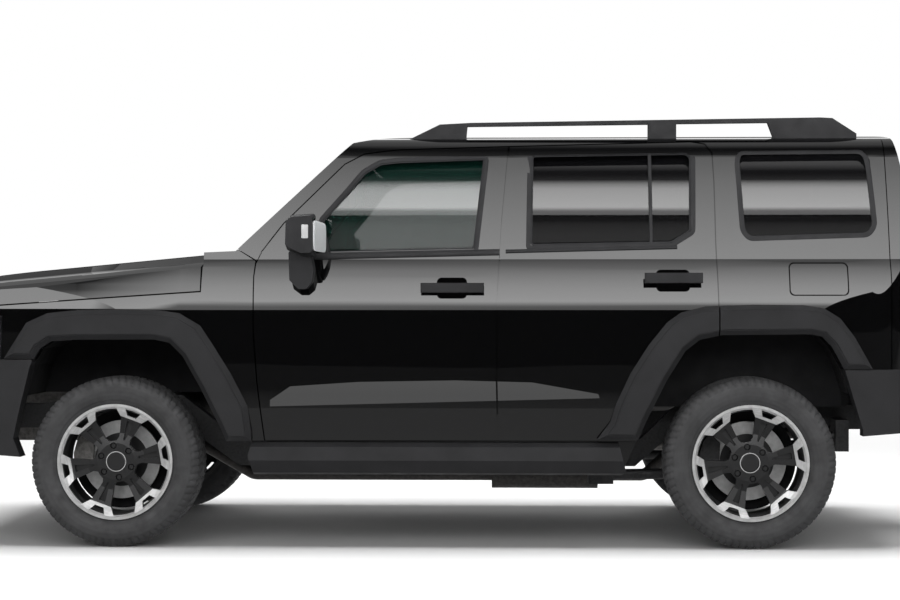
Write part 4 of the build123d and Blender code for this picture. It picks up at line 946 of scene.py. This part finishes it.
class VEHICLE_OT_mirrors_and_wipers(bpy.types.Operator):
    """Add mirror glass and indicators, and the windscreen wipers"""

    bl_idname = "vehicle.mirrors_and_wipers"
    bl_label = "Mirrors and wipers"

    def execute(self, context):
        for side, hand in SIDES:
            body = f"{side}_front_door"
            lens = self.indicator(hand)
            put_grid(f"{side}_mirror_indicator", lens, body, MATERIALS["pale plastic"], caps=True, wrap_columns=True)
            glass = self.mirror_glass(hand)
            # The mirror pane's pale grey is a painted reflection.
            put_grid(f"{side}_mirror_glass", glass, body, MATERIALS["mirror painted reflection"], caps=True, wrap_columns=True)
        self.screen_wiper("left_wiper", -0.520, 0.040)
        self.screen_wiper("right_wiper", 0.060, 0.620)
        return {"FINISHED"}

    def indicator(self, hand):
        """An upright lens on the mirror's outer face: a rounded block in x and z."""
        outline = rounded([(-0.646, 1.334), (-0.646, 1.392), (-0.618, 1.392), (-0.618, 1.334)], 0.004)
        rows = []
        for y, shrink in ((1.110, 0.0), (1.1215, 0.0), (1.1230, 0.002)):
            ring = inset(outline, shrink) if shrink else outline
            rows.append(np.column_stack([ring[:, 0], np.full(len(ring), hand * y), ring[:, 1]]))
        return np.stack(rows)

    def mirror_glass(self, hand):
        """A rounded pane behind the head, turned outwards: x grows towards the vehicle."""
        outline = rounded([(0.960, 1.276), (0.960, 1.400), (1.104, 1.412), (1.104, 1.282)], 0.026)
        rows = []
        for back, shrink in ((0.006, 0.004), (0.0, 0.0), (-0.004, 0.0), (-0.005, 0.003)):
            ring = inset(outline, shrink) if shrink else outline
            x = -0.598 + 0.26 * (1.104 - ring[:, 0]) - back
            rows.append(np.column_stack([x, hand * ring[:, 0], ring[:, 1]]))
        return np.stack(rows)

    def screen_wiper(self, name, foot, tip):
        """An arm and a blade lying on the windscreen from one place across it to another.

        Both are tapered tubes; a point is a share of the way across, a distance up the
        screen's slope and a height off the glass.
        """
        base, top = np.array([-0.917, 1.331]), np.array([-0.461, 1.771])
        slope = (top - base) / np.linalg.norm(top - base)
        out = np.array([-slope[1], slope[0]])
        t = np.linspace(0, 1, 14)

        def path(start, end, up, lift):
            share = start + (end - start) * t
            section = base + slope * up[:, None] + out * lift[:, None]
            return np.column_stack([section[:, 0], foot + (tip - foot) * share, section[:, 1]])

        arch = np.sin(np.pi * t)
        arm = tube(path(0, 0.62, 0.012 + 0.03 * t, 0.016 + 0.010 * arch), 0.0065 - 0.002 * t, 8)
        blade = tube(path(0.22, 1, 0.040 + 0.02 * arch, 0.008 + 0 * t), 0.004 + 0.002 * arch, 8)
        piece = put_mesh(name, *joined([arm, blade]), "body", MATERIALS["window seal"])


class VEHICLE_OT_seals_and_shields(bpy.types.Operator):
    """Lay the bonnet's seals and put a dust shield behind each brake disc"""

    bl_idname = "vehicle.seals_and_shields"
    bl_label = "Seals and dust shields"

    def execute(self, context):
        seam_x = np.array([-2.235, -2.10, -1.981, -1.545, -1.125])
        seam_z = np.array([1.0368, 1.0445, 1.0510, 1.0810, 1.1090])
        seam_y = np.array([0.600, 0.760, 0.830, 0.850, 0.850])
        x = np.linspace(seam_x[0], seam_x[-1], 60)
        for side, hand in SIDES:
            path = np.column_stack([x, hand * np.interp(x, seam_x, seam_y), np.interp(x, seam_x, seam_z)])
            seal = put_mesh(f"{side}_bonnet_seal", *tube(path, 0.0026, 8), "body", MATERIALS["window seal"])
            for axle, axle_x in AXLES:
                centre = (axle_x, hand * HALF_TRACK, AXLE_Z)
                profile = [(-0.066, 0.090), (-0.064, 0.205), (-0.054, 0.214), (-0.056, 0.216), (-0.067, 0.208), (-0.069, 0.090)]
                body = f"{side}_knuckle" if axle == "front" else "body"
                # A real backing plate, coloured near-black: painted shade in the gap between disc and barrel.
                shield = put_mesh(f"{side}_{axle}_dust_shield", *turned(profile, centre, hand), body, MATERIALS["arch liner painted shade"])
        return {"FINISHED"}


class VEHICLE_OT_seats(bpy.types.Operator):
    """Make the padded front seats and rear bench, with the front belts"""

    bl_idname = "vehicle.seats"
    bl_label = "Seats and belts"

    cushion = ((-0.318, 0.575), (-0.318, 0.735), (-0.285, 0.757), (0.095, 0.709), (0.172, 0.709), (0.188, 0.575))
    backrest = ((0.084, 0.715), (0.168, 0.715), (0.305, 1.245), (0.250, 1.272))
    headrest = ((0.270, 1.322), (0.276, 1.436), (0.320, 1.436), (0.332, 1.322))
    bench = ((0.572, 0.590), (0.572, 0.738), (0.606, 0.756), (0.965, 0.735), (0.990, 0.590))
    bench_back = ((1.002, 0.760), (1.108, 1.222), (1.172, 1.222), (1.130, 0.735))

    def execute(self, context):
        hide = MATERIALS["seat leather"]
        for side, hand in SIDES:
            y = hand * 0.385
            parts = (
                ("front_seat_cushion", self.cushion, y, 0.200, (0.100, -0.100), 0.016),
                ("front_seat_backrest", self.backrest, y, 0.214, (0.110, -0.110), 0.016),
                ("front_headrest", self.headrest, y, 0.118, (), 0.010),
                ("rear_seat_cushion", self.bench, hand * 0.306, 0.292, (0.150, -0.150), 0.016),
                ("rear_seat_backrest", self.bench_back, hand * 0.306, 0.292, (0.150, -0.150), 0.014),
                ("rear_headrest", ((1.140, 1.248), (1.138, 1.386), (1.178, 1.386), (1.182, 1.248)), hand * 0.370, 0.106, (), 0.008),
            )
            for name, outline, middle, half, channels, cap in parts:
                piece = self.stuffed(f"{side}_{name}", outline, middle, half, channels, cap)
                piece.data.materials.append(hide)
                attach(piece, "body")
                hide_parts("seats")
            self.frame_and_belt(side, hand)
        return {"FINISHED"}

    def stuffed(self, name, outline, middle, half, channels, cap):
        """A pad blown up by cloth pressure from a slightly smaller rounded block.

        No point moves further than the cap. Sewn channels are then pressed in along
        set places across the seat: a depth that falls off as a Gaussian.
        """
        ring = fine(rounded(np.asarray(outline), 0.028, 5), 2)
        points, faces = side_plate(ring, middle - half, middle + half)
        block = put_mesh(name + "_start", points, faces, "body", MATERIALS["seat leather"])
        remesh = block.modifiers.new("Even mesh", "REMESH")
        remesh.mode = "VOXEL"
        remesh.voxel_size = 0.0125 if half > 0.2 else 0.008
        base = self.evaluated(name, block)
        bpy.data.objects.remove(block)
        start = self.places(base)
        cloth = base.modifiers.new("Stuffing", "CLOTH")
        cloth.settings.use_pressure = True
        cloth.settings.uniform_pressure_force = 4.0
        cloth.settings.effector_weights.gravity = 0.0
        cloth.point_cache.frame_start, cloth.point_cache.frame_end = 1, 20
        for number in range(1, 21):
            bpy.context.scene.frame_set(number)
        blown = self.evaluated(name, base)
        bpy.data.objects.remove(base)
        bpy.context.scene.frame_set(1)
        base = blown
        base.name = name
        moved = self.places(base) - start
        length = np.linalg.norm(moved, axis=1, keepdims=True)
        start = start + moved * np.minimum(1, cap / np.maximum(length, 1e-9))
        normals = np.empty(len(base.data.vertices) * 3)
        base.data.vertices.foreach_get("normal", normals)
        press = np.zeros(len(start))
        for place in channels:
            press += 0.007 * np.exp(-(((start[:, 1] - middle - place) / 0.007) ** 2))
        start = start - normals.reshape(-1, 3) * press[:, None]
        base.data.vertices.foreach_set("co", start.ravel())
        base.data.update()
        base.data.polygons.foreach_set("use_smooth", [True] * len(base.data.polygons))
        smooth = base.modifiers.new("Smooth", "SUBSURF")
        smooth.levels = smooth.render_levels = 1
        return base

    def evaluated(self, name, piece):
        """A new object holding a piece's mesh with its modifiers applied."""
        graph = bpy.context.evaluated_depsgraph_get()
        mesh = bpy.data.meshes.new_from_object(piece.evaluated_get(graph))
        mesh.materials.clear()
        made = bpy.data.objects.new(name, mesh)
        bpy.context.scene.collection.objects.link(made)
        return made

    def places(self, piece):
        """Every point of a piece's mesh as an array."""
        found = np.empty(len(piece.data.vertices) * 3)
        piece.data.vertices.foreach_get("co", found)
        return found.reshape(-1, 3)

    def frame_and_belt(self, side, hand):
        """The seat's runners and head rest stalks, and a belt from the pillar to its foot."""
        y = hand * 0.385
        plastic = MATERIALS["cabin plastic"]
        base = put_mesh(f"{side}_seat_base", *brick((-0.25, y - 0.19, 0.502), (0.10, y + 0.19, 0.572)), "body", plastic)
        bevelled(base, 0.008, 3)
        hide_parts("seats")
        shroud = put_mesh(
            f"{side}_seat_side_cover",
            *side_plate(rounded([(-0.28, 0.56), (-0.28, 0.64), (0.10, 0.66), (0.20, 0.70), (0.21, 0.56)], 0.03), y + hand * 0.206, y + hand * 0.215),
            "body", plastic,
        )
        bevelled(shroud, 0.003)
        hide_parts("seats")
        stalks = [
            tube([(0.282, y + step, 1.235), (0.296, y + step, 1.335)], 0.006, 10) for step in (-0.055, 0.055)
        ]
        stalks += [
            tube([(1.158, hand * 0.37 + step, 1.20), (1.160, hand * 0.37 + step, 1.262)], 0.006, 10)
            for step in (-0.055, 0.055)
        ]
        rods = put_mesh(f"{side}_headrest_stalks", *joined(stalks), "body", MATERIALS["machined alloy"])
        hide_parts("seats")
        path = np.array([(0.215, 0.700, 1.500), (0.225, 0.690, 1.30), (0.235, 0.690, 1.00), (0.225, 0.690, 0.70), (0.210, 0.680, 0.60)])
        path[:, 1] *= hand
        t = np.linspace(0, len(path) - 1, 40)
        centre = np.column_stack([np.interp(t, np.arange(len(path)), path[:, k]) for k in range(3)])
        across = np.array([[-0.023, 0, 0], [0.023, 0, 0], [0.023, hand * 0.0014, 0], [-0.023, hand * 0.0014, 0]])
        strap = put_grid(f"{side}_front_belt", centre[:, None] + across[None], "body", MATERIALS["belt webbing"], wrap_columns=True, caps=True)


class VEHICLE_OT_steering_wheel(bpy.types.Operator):
    """Make the steering wheel's padded rim, spokes and centre, and the dashboard's parts"""

    bl_idname = "vehicle.steering_wheel"
    bl_label = "Steering wheel and dashboard"

    def execute(self, context):
        centre = np.array([-0.470, -0.385, 1.040])
        axis = np.array([0.170, 0, 0.055])
        axis /= np.linalg.norm(axis)
        across = np.array([0.0, 1.0, 0.0])
        up = np.cross(axis, across)
        up *= np.sign(up[2])

        def at(y, z, out=0.0):
            return centre + np.multiply.outer(y, across) + np.multiply.outer(z, up) + np.multiply.outer(out, axis)

        angle = np.linspace(0, 2 * np.pi, 72, endpoint=False)
        grip = 0.0145 + 0.0015 * np.cos(4 * angle)
        rim = tube(at(0.178 * np.cos(angle), 0.178 * np.sin(angle)), grip, 16, closed=True)
        wheel = put_mesh("steering_wheel_rim", *rim, "steering_wheel", MATERIALS["seat leather"])
        t = np.linspace(0, 1, 8)
        spokes = []
        for y, z in ((-1, 0.06), (1, 0.06), (0, -1)):
            reach = np.hypot(y, z)
            run = 0.045 + 0.125 * t
            spokes.append(tube(at(y / reach * run, z / reach * run, 0.004 - 0.010 * t), 0.016 - 0.005 * t, 12))
        arms = put_mesh("steering_wheel_spokes", *joined(spokes), "steering_wheel", MATERIALS["cabin plastic"])
        ring = rounded([(-0.062, -0.050), (-0.070, 0.030), (-0.040, 0.052), (0.040, 0.052), (0.070, 0.030), (0.062, -0.050)], 0.025)
        rows = [at(ring[:, 0] * k, ring[:, 1] * k, np.full(len(ring), out)) for k, out in ((0.86, -0.045), (1.0, -0.020), (1.0, 0.004), (0.9, 0.016), (0.5, 0.021))]
        hub = put_grid("steering_wheel_hub", np.stack(rows), "steering_wheel", MATERIALS["cabin plastic"], wrap_columns=True, caps=True)
        for piece in (wheel, arms, hub):
            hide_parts("steering_wheel")
        self.dashboard_parts()
        return {"FINISHED"}

    def dashboard_parts(self):
        """Instrument hood, screen, vents and glovebox lid on the dashboard's rear face."""
        plastic, gloss = MATERIALS["cabin plastic"], MATERIALS["gloss black"]
        t = np.linspace(0, np.pi, 20)
        hood_rows = [
            np.column_stack([np.full(20, x), -0.385 + 0.190 * k * np.cos(t), 1.150 + 0.085 * k * np.sin(t)])
            for x, k in ((-0.800, 0.90), (-0.620, 1.0), (-0.600, 1.0), (-0.600, 0.94), (-0.770, 0.86))
        ]
        hood = put_grid("instrument_hood", np.stack(hood_rows), "body", plastic, wrap_rows=True)
        screen = put_mesh("centre_screen", *brick((-0.608, -0.135, 1.075), (-0.590, 0.135, 1.235)), "body", gloss)
        bevelled(screen, 0.006, 3)
        lid = put_mesh("glovebox_lid", *brick((-0.612, 0.200, 0.930), (-0.596, 0.600, 1.030)), "body", plastic)
        bevelled(lid, 0.010, 3)
        vents = []
        for y in (-0.700, -0.600, 0.600, 0.700, -0.115, -0.035, 0.045, 0.125):
            for slat in range(3):
                z = 1.040 + 0.014 * slat
                vents.append(brick((-0.598, y - 0.032, z), (-0.588, y + 0.032, z + 0.005)))
        slats = put_mesh("dashboard_vents", *joined(vents), "body", gloss, smooth=False)


class VEHICLE_PT_finish(bpy.types.Panel):
    """Steps that build the vehicle's finish, in order"""

    bl_label = "Vehicle"
    bl_idname = "VEHICLE_PT_finish"
    bl_space_type = "VIEW_3D"
    bl_region_type = "UI"
    bl_category = "Vehicle"

    def draw(self, context):
        column = self.layout.column()
        for operator in OPERATORS:
            column.operator(operator.bl_idname)
        for group in (settings("paint"), settings("wheels"), settings("studio")):
            box = self.layout.box()
            for key in group.__annotations__:
                box.prop(group, key)


GROUPS = (
    ("paint", VehiclePaintSettings),
    ("wheels", VehicleWheelSettings),
    ("studio", VehicleStudioSettings),
)
OPERATORS = (
    VEHICLE_OT_studio,
    VEHICLE_OT_node_finishes,
    VEHICLE_OT_tyres,
    VEHICLE_OT_window_trim,
    VEHICLE_OT_mirrors_and_wipers,
    VEHICLE_OT_seals_and_shields,
    VEHICLE_OT_seats,
    VEHICLE_OT_steering_wheel,
)


def register():
    for name, group in GROUPS:
        bpy.utils.register_class(group)
        pointer = bpy.props.PointerProperty(type=group)
        setattr(bpy.types.Scene, f"vehicle_{name}", pointer)
    for kind in (*OPERATORS, VEHICLE_PT_finish):
        bpy.utils.register_class(kind)


def unregister():
    for kind in (VEHICLE_PT_finish, *reversed(OPERATORS)):
        bpy.utils.unregister_class(kind)
    for name, group in reversed(GROUPS):
        delattr(bpy.types.Scene, f"vehicle_{name}")
        bpy.utils.unregister_class(group)


def plain(bounds):
    """A box as plain lists of numbers."""
    return [[float(v) for v in corner] for corner in bounds]


def main():
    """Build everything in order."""
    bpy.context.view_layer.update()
    register()
    for operator in OPERATORS:
        group, name = operator.bl_idname.split(".")
        getattr(getattr(bpy.ops, group), name)()


if __name__ == "__main__":
    main()
